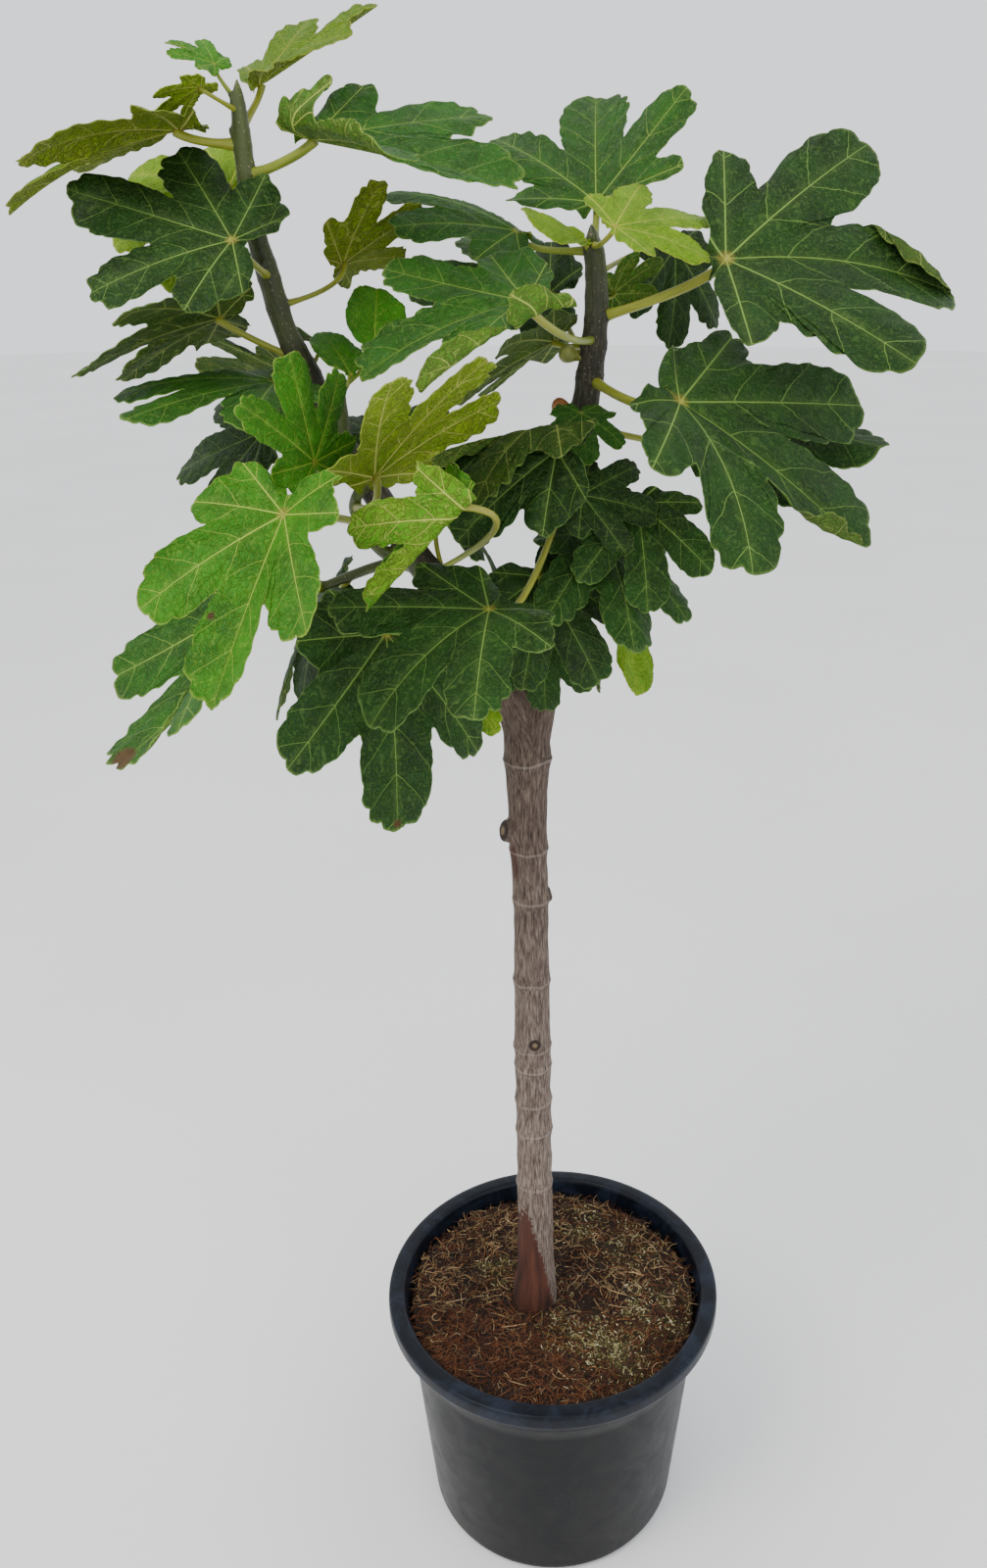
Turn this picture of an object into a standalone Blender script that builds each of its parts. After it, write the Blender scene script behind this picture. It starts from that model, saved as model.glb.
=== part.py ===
"""A young potted fig tree: black nursery pot, potting mix, grown wood and its leaves.

Metres, +Z up. The origin is the centre of the pot's underside. The tree grows as a
plan: shoots are routes of (x, y, z, radius), and each leaf is set on a shoot by how
far along it sits, which way its stalk leaves and how its blade hangs.
"""

import math

import bmesh
import bpy
from mathutils import Vector

for old in list(bpy.data.objects):
    bpy.data.objects.remove(old, do_unlink=True)

# ---------------------------------------------------------------- driving dimensions
POT_HEIGHT = 0.235
POT_RIM_RADIUS = 0.150
RIM_OVERHANG = 0.0195  # from the wall's outside, under the shoulder, to the rim's edge
RIM_LIP = 0.013  # width of the rim's rounded top
RIM_BAND = 0.016  # height of the rim's upright band
SHOULDER = 0.045  # from the rim's top down to where the wall starts to flare
POT_TAPER = 0.016  # how much narrower the wall is at the base than under the rim
POT_WALL = 0.0024
POT_FLOOR = 0.003
DRAIN_HOLES = 6
DRAIN_RADIUS = 0.007
DRAIN_CIRCLE = 0.070

SOIL_BELOW_RIM = 0.021
SOIL_UNEVEN = 0.0022
FIT_GAP = 0.0004  # between pieces that rest on, or sit inside, one another

TRUNK_SCALE = 1.0  # thickness of all wood, as a share of the routes' own radii
STEM_LENGTH = 1.0  # stretches the clear stem between the soil and the fork
ROOT_DEPTH = 0.065  # how deep the stem's foot goes into the potting mix
LEAF_SCALE = 1.0  # size of all blades
STALK_SHARE = 0.019  # radius of a leaf's stalk, as a share of its blade's length
STALK_LEAST = 0.0009
BLADE_THICKNESS = 0.0012

POT_SIDES = 48
WOOD_SIDES = 10
STALK_SIDES = 6
SOIL_TOP = POT_HEIGHT - SOIL_BELOW_RIM

# ---------------------------------------------------------------- materials


def material(name, rgb, roughness, metallic=0.0):
    made = bpy.data.materials.new(name)
    made.use_nodes = True
    surface = made.node_tree.nodes["Principled BSDF"]
    surface.inputs["Base Color"].default_value = (*rgb, 1.0)
    surface.inputs["Roughness"].default_value = roughness
    surface.inputs["Metallic"].default_value = metallic
    return made


PLASTIC = material("black_plastic", (0.018, 0.019, 0.022), 0.35)
SOIL = material("potting_mix", (0.045, 0.028, 0.018), 0.95)
BARK = material("fig_bark", (0.17, 0.115, 0.09), 0.85)
TONES = {
    "dark": material("leaf_dark", (0.022, 0.075, 0.022), 0.5),
    "mid": material("leaf_mid", (0.045, 0.15, 0.025), 0.5),
    "bright": material("leaf_bright", (0.09, 0.30, 0.03), 0.5),
    "lime": material("leaf_lime", (0.25, 0.42, 0.04), 0.5),
}
FRUIT = material("young_fig", (0.16, 0.20, 0.05), 0.5)

# ---------------------------------------------------------------- mesh helpers


def add_object(name, points, faces, surface):
    """One closed mesh object, with its faces turned outwards."""
    mesh = bpy.data.meshes.new(name)
    shape = bmesh.new()
    corners = [shape.verts.new(p) for p in points]
    for face in faces:
        shape.faces.new([corners[i] for i in face])
    bmesh.ops.recalc_face_normals(shape, faces=shape.faces)
    if shape.calc_volume(signed=True) < 0:
        bmesh.ops.reverse_faces(shape, faces=shape.faces)
    shape.to_mesh(mesh)
    shape.free()
    mesh.materials.append(surface)
    made = bpy.data.objects.new(name, mesh)
    bpy.context.collection.objects.link(made)
    return made


def boolean(target, tool, operation):
    """Cuts or joins with the exact solver, and hides the tool."""
    step = target.modifiers.new(operation.lower(), "BOOLEAN")
    step.operation = operation
    step.solver = "EXACT"
    step.object = tool
    tool.hide_render = True
    tool.display_type = "WIRE"


def lofted(name, rings, surface):
    """A closed solid through rings of equal count, with a flat face on both ends."""
    count = len(rings[0])
    points = [p for ring in rings for p in ring]
    faces = [list(range(count))]
    for k in range(len(rings) - 1):
        for i in range(count):
            j = (i + 1) % count
            low, high = k * count, (k + 1) * count
            faces.append([low + i, low + j, high + j, high + i])
    faces.append([(len(rings) - 1) * count + i for i in range(count)])
    return add_object(name, points, faces, surface)


def turned(name, profile, sides, surface):
    """A solid of revolution about Z from a closed profile that starts and ends on it."""
    inner = profile[1:-1]
    points = [(0, 0, profile[0][1]), (0, 0, profile[-1][1])]
    for r, z in inner:
        for i in range(sides):
            a = 2 * math.pi * i / sides
            points.append((r * math.cos(a), r * math.sin(a), z))
    faces = []
    for i in range(sides):
        j = (i + 1) % sides
        faces.append([0, 2 + j, 2 + i])
        last = 2 + (len(inner) - 1) * sides
        faces.append([1, last + i, last + j])
        for k in range(len(inner) - 1):
            low, high = 2 + k * sides, 2 + (k + 1) * sides
            faces.append([low + i, low + j, high + j, high + i])
    return add_object(name, points, faces, surface)


# ---------------------------------------------------------------- pot
wall_top = POT_HEIGHT - SHOULDER
wall_top_radius = POT_RIM_RADIUS - RIM_OVERHANG
base_radius = wall_top_radius - POT_TAPER
lip_inside = POT_RIM_RADIUS - RIM_LIP
band_low = POT_HEIGHT - RIM_BAND
pot = turned(
    "pot",
    [
        (0.0, 0.0),
        (base_radius - 0.0065, 0.0),
        (base_radius - 0.002, 0.002),
        (base_radius, 0.007),
        (wall_top_radius, wall_top),
        (wall_top_radius + 0.16 * RIM_OVERHANG, wall_top + 0.4 * (SHOULDER - RIM_BAND)),
        (wall_top_radius + 0.55 * RIM_OVERHANG, band_low - 0.006),
        (POT_RIM_RADIUS - 0.0028, band_low - 0.0015),
        (POT_RIM_RADIUS, band_low + 0.0025),
        (POT_RIM_RADIUS, POT_HEIGHT - 0.005),
        (POT_RIM_RADIUS - 0.0015, POT_HEIGHT - 0.0012),
        (POT_RIM_RADIUS - 0.005, POT_HEIGHT),
        (lip_inside, POT_HEIGHT),
        (lip_inside - 0.0025, POT_HEIGHT - 0.0025),
        (wall_top_radius - POT_WALL + 0.003, POT_HEIGHT - 0.023),
        (wall_top_radius - POT_WALL, wall_top - 0.002),
        (base_radius - POT_WALL, 0.0075),
        (base_radius - POT_WALL - 0.003, POT_FLOOR),
        (0.0, POT_FLOOR),
    ],
    POT_SIDES,
    PLASTIC,
)
for i in range(DRAIN_HOLES):
    angle = 2 * math.pi * (i + 0.37) / DRAIN_HOLES
    bpy.ops.mesh.primitive_cylinder_add(
        vertices=12,
        radius=DRAIN_RADIUS,
        depth=4 * POT_FLOOR,
        location=(DRAIN_CIRCLE * math.cos(angle), DRAIN_CIRCLE * math.sin(angle), 0),
    )
    drill = bpy.context.object
    drill.name = f"drain_drill_{i + 1}"
    boolean(pot, drill, "DIFFERENCE")

# ---------------------------------------------------------------- growth plan: shoots
# Each point is (x, y, z, radius) in metres. "stem" and "left" are one run of wood.
# Heights are those of a tree whose potting mix lies at PLAN_GROUND.
PLAN_GROUND = 0.214
FORK = 0.77


def stem_z(z):
    """Height of a plan point on the clear stem, which STEM_LENGTH stretches."""
    return SOIL_TOP + (z - PLAN_GROUND) * STEM_LENGTH


LIFT = stem_z(FORK) - FORK  # how far the crown moves up when the stem is longer
SHOOTS = {
    "stem": [
        (-0.017, 0.000, SOIL_TOP - ROOT_DEPTH, 0.0205),
        (-0.0165, 0.000, SOIL_TOP + 0.008, 0.0200),
        (-0.0155, 0.000, stem_z(0.260), 0.0168),
        (-0.016, 0.000, stem_z(0.355), 0.0152),
        (-0.017, 0.000, stem_z(0.500), 0.0148),
        (-0.0175, 0.000, stem_z(0.625), 0.0140),
        (-0.0195, 0.000, stem_z(0.705), 0.0150),
        (-0.0195, 0.000, stem_z(0.760), 0.0175),
    ],
    "left": [
        (-0.025, 0.000, 0.785, 0.0150),
        (-0.042, -0.005, 0.835, 0.0120),
        (-0.066, -0.010, 0.872, 0.0110),
        (-0.092, -0.015, 0.905, 0.0105),
        (-0.120, -0.020, 0.954, 0.0095),
        (-0.140, -0.025, 0.987, 0.0090),
        (-0.154, -0.025, 1.019, 0.0085),
        (-0.170, -0.030, 1.056, 0.0075),
        (-0.179, -0.030, 1.091, 0.0070),
        (-0.185, -0.030, 1.116, 0.0065),
        (-0.188, -0.030, 1.150, 0.0060),
        (-0.189, -0.030, 1.176, 0.0050),
        (-0.189, -0.030, 1.189, 0.0040),
    ],
    "right": [
        (-0.017, 0.001, 0.762, 0.0140),
        (-0.007, 0.002, 0.815, 0.0130),
        (0.001, 0.005, 0.868, 0.0115),
        (0.010, 0.010, 0.924, 0.0105),
        (0.018, 0.015, 0.985, 0.0095),
        (0.024, 0.020, 1.017, 0.0090),
        (0.029, 0.020, 1.062, 0.0080),
        (0.029, 0.020, 1.092, 0.0070),
        (0.027, 0.020, 1.110, 0.0055),
    ],
    "side": [
        (-0.094, -0.015, 0.906, 0.0060),
        (-0.115, -0.020, 0.913, 0.0050),
        (-0.128, -0.030, 0.932, 0.0045),
        (-0.133, -0.035, 0.950, 0.0040),
        (-0.125, -0.040, 0.967, 0.0034),
    ],
    "low": [
        (-0.090, -0.014, 0.900, 0.0052),
        (-0.117, -0.008, 0.903, 0.0040),
        (-0.165, 0.000, 0.885, 0.0032),
    ],
    "young": [
        (-0.140, -0.025, 0.985, 0.0060),
        (-0.139, -0.031, 1.008, 0.0048),
        (-0.139, -0.036, 1.026, 0.0034),
    ],
}
# Pruned knobs and buds on the stem: (height, heading in degrees, length, radius).
KNOBS = [
    (0.690, 205, 0.0235, 0.0075),
    (0.632, 0, 0.0165, 0.0055),
    (0.498, -80, 0.0165, 0.0050),
]
for route in ("left", "right", "side", "low", "young"):
    SHOOTS[route] = [(x, y, z + LIFT, r) for x, y, z, r in SHOOTS[route]]
SHOOTS["stem_and_left"] = SHOOTS["stem"] + SHOOTS["left"]


def ring_about(centre, tangent, radius, sides, start):
    """A ring of points square to the tangent, its first point towards start."""
    u = (start - tangent * start.dot(tangent)).normalized()
    v = tangent.cross(u)
    angles = [2 * math.pi * i / sides for i in range(sides)]
    return [centre + (u * math.cos(a) + v * math.sin(a)) * radius for a in angles]


def shoot_tube(name, route, surface):
    """A tapering limb along a route of (x, y, z, radius)."""
    centres = [Vector(p[:3]) for p in route]
    rings = []
    for k, centre in enumerate(centres):
        before = centres[max(k - 1, 0)]
        after = centres[min(k + 1, len(centres) - 1)]
        tangent = (after - before).normalized()
        radius = route[k][3] * TRUNK_SCALE
        rings.append(ring_about(centre, tangent, radius, WOOD_SIDES, Vector((1, 0.3, 0))))
    return lofted(name, rings, surface)


def on_shoot(shoot, along):
    """Centre, radius and direction of a shoot at a share of its length, 0 at its foot."""
    route = SHOOTS[shoot]
    centres = [Vector(p[:3]) for p in route]
    steps = [(b - a).length for a, b in zip(centres, centres[1:])]
    left = along * sum(steps)
    for k, step in enumerate(steps):
        if left <= step or k == len(steps) - 1:
            share = min(left / step, 1.0)
            radius = route[k][3] + (route[k + 1][3] - route[k][3]) * share
            grows = (centres[k + 1] - centres[k]) / step
            return centres[k].lerp(centres[k + 1], share), radius * TRUNK_SCALE, grows
        left -= step


def clear_of_bark(shoot, along, way, stalk_radius):
    """Where a stalk that leaves along way stands just clear of its shoot's bark."""
    centre, radius, grows = on_shoot(shoot, along)
    square = (way - grows * way.dot(grows)).normalized()
    lean = math.sqrt(max(0.0, 1 - way.dot(square) ** 2))
    return centre, centre + square * (radius + FIT_GAP + stalk_radius * lean)


# ---------------------------------------------------------------- wood
wood = shoot_tube("wood", SHOOTS["stem_and_left"], BARK)
for limb in ("right", "side", "low", "young"):
    boolean(wood, shoot_tube(f"limb_{limb}", SHOOTS[limb], BARK), "UNION")
for i, (height, heading, length, radius) in enumerate(KNOBS):
    turn = math.radians(heading)
    out = Vector((math.cos(turn), math.sin(turn), 0.25)).normalized()
    foot = Vector((-0.0175, 0, stem_z(height)))
    steps = [(0.2, 1.3), (0.7, 1.1), (1.0, 0.8)]
    rings = [
        ring_about(foot + out * length * s, out, radius * w * TRUNK_SCALE, 8, Vector((0, 0, 1)))
        for s, w in steps
    ]
    boolean(wood, lofted(f"knob_{i + 1}", rings, BARK), "UNION")

# ---------------------------------------------------------------- potting mix
foot_x, foot_y, _, foot_radius = SHOOTS["stem"][0]
stem_centre = Vector((foot_x, foot_y, 0))
hole_radius = (foot_radius * TRUNK_SCALE + FIT_GAP) / math.cos(math.pi / WOOD_SIDES)
soil_wall_radius = wall_top_radius - POT_WALL - 0.0022


def soil_height(x, y):
    """The mix lies in low mounds, a little higher round the stem."""
    waves = math.sin(61 * x + 1.0) * math.cos(53 * y - 0.6) + 0.5 * math.sin(117 * x - 89 * y)
    return SOIL_TOP + SOIL_UNEVEN * waves


def soil_ring(share, z=None):
    """A ring between the stem's hole (share 0) and the pot's wall (share 1)."""
    ring = []
    for i in range(36):
        a = 2 * math.pi * i / 36
        way = Vector((math.cos(a), math.sin(a), 0))
        p = (stem_centre + way * hole_radius).lerp(way * soil_wall_radius, share)
        ring.append((p.x, p.y, soil_height(p.x, p.y) if z is None else z))
    return ring


def soil_outer(radius, z):
    angles = [2 * math.pi * i / 36 for i in range(36)]
    return [(radius * math.cos(a), radius * math.sin(a), z) for a in angles]


lofted(
    "soil",
    [
        soil_ring(0.0, SOIL_TOP - ROOT_DEPTH - FIT_GAP),
        soil_ring(0.0),
        soil_ring(0.25),
        soil_ring(0.5),
        soil_ring(0.75),
        soil_ring(1.0),
        soil_outer(base_radius - POT_WALL - 0.0008, 0.009),
        soil_outer(base_radius - POT_WALL - 0.0046, POT_FLOOR + FIT_GAP),
    ],
    SOIL,
)

# ---------------------------------------------------------------- leaf outline
# Half of a five-lobed blade: (angle from the midrib, reach, how much it deepens with
# the cut). Reach is a share of the junction-to-tip length.
LOBED_HALF = [
    (8, 0.95, 0.0),
    (13, 0.78, 0.12),
    (21, 0.50, 1.0),
    (29, 0.69, 0.2),
    (35, 0.81, 0.0),
    (41, 0.85, 0.0),
    (49, 0.78, 0.0),
    (56, 0.62, 0.2),
    (63, 0.41, 0.7),
    (73, 0.43, 0.2),
    (85, 0.47, 0.0),
    (104, 0.43, 0.0),
    (130, 0.31, 0.0),
    (158, 0.14, 0.0),
]
MID_HALF = [21, 41, 63, 85, 130]


def full_turn(half, ends):
    """Both halves of a mirrored list, in order of angle from -180 to 180."""
    return [(-h[0], *h[1:]) for h in reversed(half)] + [ends[0]] + list(half) + [ends[1]]


def lobed_outline(cut, base):
    """(angle, reach) round a lobed blade; cut 0 is deeply lobed, 1 is nearly whole.

    base is the size of the lobes behind the stalk: 1 is heart-shaped, 0 is straight.
    """
    points = full_turn(LOBED_HALF, [(0, 1.0, 0.0), (180, 0.07, 0.0)])
    found = []
    for a, reach, deepens in points:
        behind = min(max((abs(a) - 88) / 30, 0), 1)
        reach = max(0.07, reach * (1 - (1 - base) * behind))
        found.append((a, reach + 0.34 * cut * deepens))
    return found


# Blades that are cut off straight, or nearly, behind the stalk.
BASES = {
    "right_leaf_06": 0.30,
    "right_leaf_01": 0.45,
    "right_leaf_03": 0.40,
    "right_leaf_13": 0.60,
    "right_leaf_10": 0.75,
    "side_leaf_01": 0.45,
    "left_leaf_15": 0.50,
    "left_leaf_01": 0.30,
    "left_leaf_04": 0.60,
    "left_leaf_05": 0.50,
    "left_leaf_12": 0.50,
    "left_leaf_08": 0.60,
}


def oval_outline():
    """(angle, reach) round a young whole blade: an ellipse with its foot at the stalk."""
    found = []
    for a, _, _ in full_turn(LOBED_HALF, [(0, 1.0, 0.0), (180, 0.07, 0.0)]):
        c, s = math.cos(math.radians(a)), math.sin(math.radians(a))
        reach = 0.36**2 * c / (0.36**2 * c * c + 0.25 * s * s) if c > 0 else 0.0
        found.append((a, max(reach, 0.08)))
    return found


# ---------------------------------------------------------------- leaf surface


def blade_axes(heading, pitch, roll):
    """Midrib, left and upper directions of a blade, from its angles in degrees."""
    h, p, r = (math.radians(v) for v in (heading, pitch, roll))
    midrib = Vector((math.cos(p) * math.cos(h), math.cos(p) * math.sin(h), math.sin(p)))
    level = Vector((-math.sin(p) * math.cos(h), -math.sin(p) * math.sin(h), math.cos(p)))
    side = level.cross(midrib)
    left = side * math.cos(r) + level * math.sin(r)
    return midrib, left, midrib.cross(left)


def blade_point(junction, axes, length, bend, angle, reach):
    """Point and upper direction on a bent blade, reach lengths out at an angle.

    The blade springs up from its midrib by the fold, and each ray then droops: the
    three droops are for the left side, the middle and the right side.
    """
    fold, left_droop, droop, right_droop = bend
    midrib, left, upper = axes
    turn = math.radians(angle)
    spring = fold * abs(math.sin(turn))
    side = min(abs(angle) / 60, 1.0)
    end_droop = left_droop if angle > 0 else right_droop
    drooping = droop + (end_droop - droop) * side
    out = rise = 0.0
    steps = 8
    for k in range(steps):
        slope = math.radians(spring - drooping * reach * (k + 0.5) / steps)
        out += math.cos(slope) * length * reach / steps
        rise += math.sin(slope) * length * reach / steps
    slope = math.radians(spring - drooping * reach)
    ray = midrib * math.cos(turn) + left * math.sin(turn)
    return junction + ray * out + upper * rise, upper * math.cos(slope) - ray * math.sin(slope)


def zip_rings(inner, outer):
    """Triangles between two rings of (angle, index), however many points each has."""
    faces = []
    i = j = 0
    while i < len(inner) or j < len(outer):
        a, b = inner[i % len(inner)], outer[j % len(outer)]
        next_a, next_b = inner[(i + 1) % len(inner)], outer[(j + 1) % len(outer)]
        turn_a = next_a[0] + 360 * ((i + 1) // len(inner))
        turn_b = next_b[0] + 360 * ((j + 1) // len(outer))
        if j >= len(outer) or (i < len(inner) and turn_a < turn_b):
            faces.append([a[1], b[1], next_a[1]])
            i += 1
        else:
            faces.append([a[1], b[1], next_b[1]])
            j += 1
    return faces


def stalk_route(foot, junction, axes, steps):
    """A stalk that leaves its shoot straight, then curves up under the blade."""
    midrib, _, upper = axes
    reach = (junction - foot).length
    arrive = (midrib * 0.6 + upper).normalized()
    bend_at = junction - arrive * reach * 0.3
    points = []
    for k in range(steps + 1):
        t = k / steps
        points.append(
            foot * (1 - t) ** 2 + bend_at * 2 * t * (1 - t) + junction * t**2
        )
    return points


def leaf(name, along, stalk, hang, size, bend, cut, tone):
    """One leaf, blade and stalk as one piece, standing just clear of its shoot.

    stalk is (heading, rise, length); hang is the blade's (heading, pitch, roll).
    """
    shoot = name.split("_")[0]
    heading, rise, stalk_length = stalk
    h, r = math.radians(heading), math.radians(rise)
    way = Vector((math.cos(r) * math.cos(h), math.cos(r) * math.sin(h), math.sin(r)))
    thick = max(STALK_SHARE * size, STALK_LEAST)
    centre, foot = clear_of_bark(shoot, along, way, thick)
    junction = centre + way * stalk_length
    axes = blade_axes(*hang)
    length = size * LEAF_SCALE
    half = BLADE_THICKNESS / 2
    outline = oval_outline() if cut is None else lobed_outline(cut, BASES.get(name, 1))
    reach_at = dict(outline)
    mid = full_turn([(a,) for a in MID_HALF], [(0,), (180,)])
    mid = [(a, min(0.36, 0.62 * reach_at.get(a, 0.6))) for (a,) in mid]
    core = [(a, thick / length) for a in (-120, -60, 0, 60, 120, 180)]
    points, rings = [], []
    for side in (half, -half):
        for ring in (core, mid, outline):
            rings.append([])
            for a, reach in ring:
                on_blade, up = blade_point(junction, axes, length, bend, a, reach)
                rings[-1].append((a, len(points)))
                points.append(on_blade + up * side)
    faces = [[index for _, index in rings[0]]]
    for a, b in ((0, 1), (1, 2), (3, 4), (4, 5), (2, 5)):
        faces += zip_rings(rings[a], rings[b])
    # The stalk runs down from the under side of the core ring.
    route = stalk_route(foot, junction - axes[2] * half, axes, 4)
    previous = [index for _, index in rings[3]]
    start = points[previous[0]] - junction
    for k in range(len(route) - 2, -1, -1):
        tangent = (route[k] - route[k + 1]).normalized()
        if k > 0:
            tangent = (route[k - 1] - route[k + 1]).normalized()
        u = (start - tangent * start.dot(tangent)).normalized()
        v = u.cross(tangent)
        ring = []
        for i in range(STALK_SIDES):
            a = 2 * math.pi * i / STALK_SIDES
            ring.append(len(points))
            points.append(route[k] + (u * math.cos(a) + v * math.sin(a)) * thick)
        for i in range(STALK_SIDES):
            j = (i + 1) % STALK_SIDES
            faces.append([previous[i], previous[j], ring[j], ring[i]])
        previous = ring
        start = u
    faces.append(previous)
    add_object(name, points, faces, TONES[tone])


# ---------------------------------------------------------------- growth plan: leaves
# name, along, stalk (heading, rise, length), hang (heading, pitch, roll), size,
# bend (fold, left droop, middle droop, right droop), cut, tone
# The first word of the name is the shoot that bears the leaf.
LEAVES = [
    # left shoot, from its tip down
    ("left_leaf_01", 0.97, (65, 50, 0.033), (15, 30, 5), 0.085, (20, 10, -5, 45), 0.4, "lime"),
    ("left_leaf_02", 1.00, (-150, 58, 0.024), (170, 35, -20), 0.032, (5, 20, 25, 20), 0.3, "bright"),
    ("left_leaf_03", 0.99, (-130, 24, 0.029), (170, -20, 10), 0.034, (10, 20, 25, 20), 0.2, "lime"),
    ("left_leaf_04", 0.95, (-170, 13, 0.038), (-175, -10, 5), 0.115, (10, 30, 30, 10), 0.1, "lime"),
    ("left_leaf_05", 0.91, (-25, 23, 0.053), (-15, -10, 10), 0.130, (20, 10, 5, 20), 0.4, "mid"),
    ("left_leaf_06", 0.80, (119.9, 35.7, 0.0769), (-165, -15, -45), 0.090, (0, 20, 25, 30), 0.4, "lime"),
    ("left_leaf_07", 0.78, (-100, 23, 0.058), (165, 15, -40), 0.105, (0, 30, 5, 10), 0.2, "dark"),
    ("left_leaf_08", 0.74, (55, 22, 0.065), (25, 35, -45), 0.068, (15, 20, 20, 20), 0.6, "lime"),
    ("left_leaf_09", 0.68, (100, -22, 0.068), (150, 10, 30), 0.085, (10, 20, 20, 25), 0.4, "dark"),
    ("left_leaf_10", 0.64, (65, 45, 0.026), (120, 10, 20), 0.050, (10, 20, 25, 20), None, "dark"),
    ("left_leaf_11", 0.66, (-165, 30, 0.056), (-155, -10, 30), 0.098, (10, 45, 20, 20), 0.3, "dark"),
    ("left_leaf_12", 0.64, (-125.2, -2.4, 0.0286), (-130, 0, -10), 0.110, (5, 20, 15, 45), 0.3, "mid"),
    ("left_leaf_13", 0.58, (-166, -14, 0.044), (155, -20, -60), 0.080, (15, 20, 10, 60), 0.1, "dark"),
    ("left_leaf_14", 0.50, (-93, 9, 0.113), (-140, 80, -75), 0.065, (5, 35, 5, 15), 0.0, "bright"),
    ("left_leaf_15", 0.29, (-77, 27, 0.174), (175, -45, -25), 0.090, (5, 35, 0, 10), 0.0, "bright"),
    ("left_leaf_16", 0.24, (127, 83, 0.060), (-10, -25, -20), 0.065, (-5, 20, 50, 40), 0.4, "dark"),
    ("left_leaf_17", 0.19, (-118, 10, 0.105), (-75, -60, -20), 0.125, (5, 30, 15, 20), 0.8, "dark"),
    ("left_leaf_18", 0.16, (-107, -12, 0.046), (-120, -65, 0), 0.060, (0, 20, 40, 35), 0.3, "lime"),
    ("left_leaf_19", 0.47, (70, 25, 0.045), (100, 35, -10), 0.070, (0, 20, 35, 35), 0.5, "dark"),
    # the young side shoot
    ("young_leaf_01", 0.95, (-10, 45, 0.036), (90, 50, 10), 0.055, (10, 20, 25, 20), None, "bright"),
    ("young_leaf_02", 0.85, (-55, 40, 0.024), (125, 40, 0), 0.045, (10, 20, 25, 20), None, "bright"),
    # the bent side twig
    ("side_leaf_01", 0.75, (-73, 23, 0.086), (-15, 50, -15), 0.108, (5, 25, 15, 25), 0.4, "lime"),
    ("side_leaf_02", 0.60, (-100, 14, 0.145), (-120, -50, 0), 0.115, (20, 0, 5, 25), 0.1, "bright"),
    # the low twig
    ("low_leaf_01", 0.74, (131.1, -30.5, 0.0341), (175, -50, -15), 0.115, (-5, 35, 30, 20), 0.4, "dark"),
    ("low_leaf_02", 1.00, (-132, 2, 0.067), (-140, -60, 15), 0.140, (30, 30, -30, 5), 0.0, "mid"),
    # right shoot, from its tip down
    ("right_leaf_01", 1.00, (85, 54, 0.034), (90, 40, -10), 0.120, (15, 35, 10, 0), 0.2, "mid"),
    ("right_leaf_02", 0.98, (-127, 45, 0.014), (-150, 20, -30), 0.050, (5, 20, 0, 30), None, "lime"),
    ("right_leaf_03", 1.00, (-78, 12, 0.057), (30, 10, 30), 0.072, (5, 20, 15, 30), 0.1, "lime"),
    ("right_leaf_04", 0.95, (50, 10, 0.092), (-75, -70, -20), 0.072, (5, 25, 30, 25), 0.6, "dark"),
    ("right_leaf_05", 0.91, (62, 2, 0.026), (15, 40, -60), 0.040, (0, 15, 30, 40), 0.4, "mid"),
    ("right_leaf_06", 0.87, (-29, 23, 0.100), (0, 5, 45), 0.160, (10, 20, 35, 15), 0.0, "dark"),
    ("right_leaf_07", 0.83, (-110, 14, 0.131), (-165, -10, -15), 0.110, (10, 55, 25, -15), 0.3, "mid"),
    ("right_leaf_08", 0.82, (137, 3, 0.036), (-160, -20, 35), 0.080, (10, 40, 20, 0), 0.2, "dark"),
    ("right_leaf_09", 0.77, (112, 33, 0.090), (175, 5, -40), 0.105, (10, 20, 5, 40), 0.4, "dark"),
    ("right_leaf_10", 0.76, (-55, -3, 0.098), (-10, -30, 20), 0.155, (15, 0, 15, 70), 0.3, "dark"),
    ("right_leaf_11", 0.67, (18.9, -2.3, 0.1139), (-35, 5, 20), 0.115, (-5, 30, 20, 30), 0.4, "dark"),
    ("right_leaf_12", 0.71, (-95, 0, 0.042), (-85, -25, 0), 0.045, (5, 30, 30, 20), 0.5, "mid"),
    ("right_leaf_13", 0.58, (-46, -12, 0.062), (-80, -50, 0), 0.080, (10, 20, 25, 20), 0.1, "dark"),
    ("right_leaf_14", 0.54, (-85, 9, 0.068), (0, -10, 65), 0.056, (0, 50, 30, 30), 0.5, "dark"),
    ("right_leaf_15", 0.66, (-101, 0, 0.088), (170, 0, -55), 0.105, (0, 35, 30, 60), 0.4, "dark"),
    ("right_leaf_16", 0.47, (-51, 7, 0.039), (-70, -30, -10), 0.100, (-5, 25, 35, 30), 0.5, "dark"),
    ("right_leaf_17", 0.60, (-111, -23, 0.168), (-135, -10, -10), 0.112, (10, 40, 45, 0), 0.5, "dark"),
    ("right_leaf_18", 0.36, (-103, 17, 0.061), (-30, -50, 30), 0.088, (0, 30, 20, 30), 0.4, "dark"),
    ("right_leaf_19", 0.33, (-6, -25, 0.057), (-65, -50, -20), 0.050, (10, 20, 25, 20), None, "lime"),
    ("right_leaf_20", 0.29, (53, -28, 0.036), (20, -60, 10), 0.055, (5, 20, 25, 25), 0.4, "dark"),
    ("right_leaf_21", 0.24, (-95, 20, 0.038), (-100, -80, 0), 0.060, (10, 25, 25, 25), 0.6, "dark"),
    ("right_leaf_22", 0.99, (166, 14, 0.055), (165, 30, -10), 0.095, (-10, 25, 30, 30), 0.2, "mid"),
]
for entry in LEAVES:
    leaf(*entry)

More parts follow.
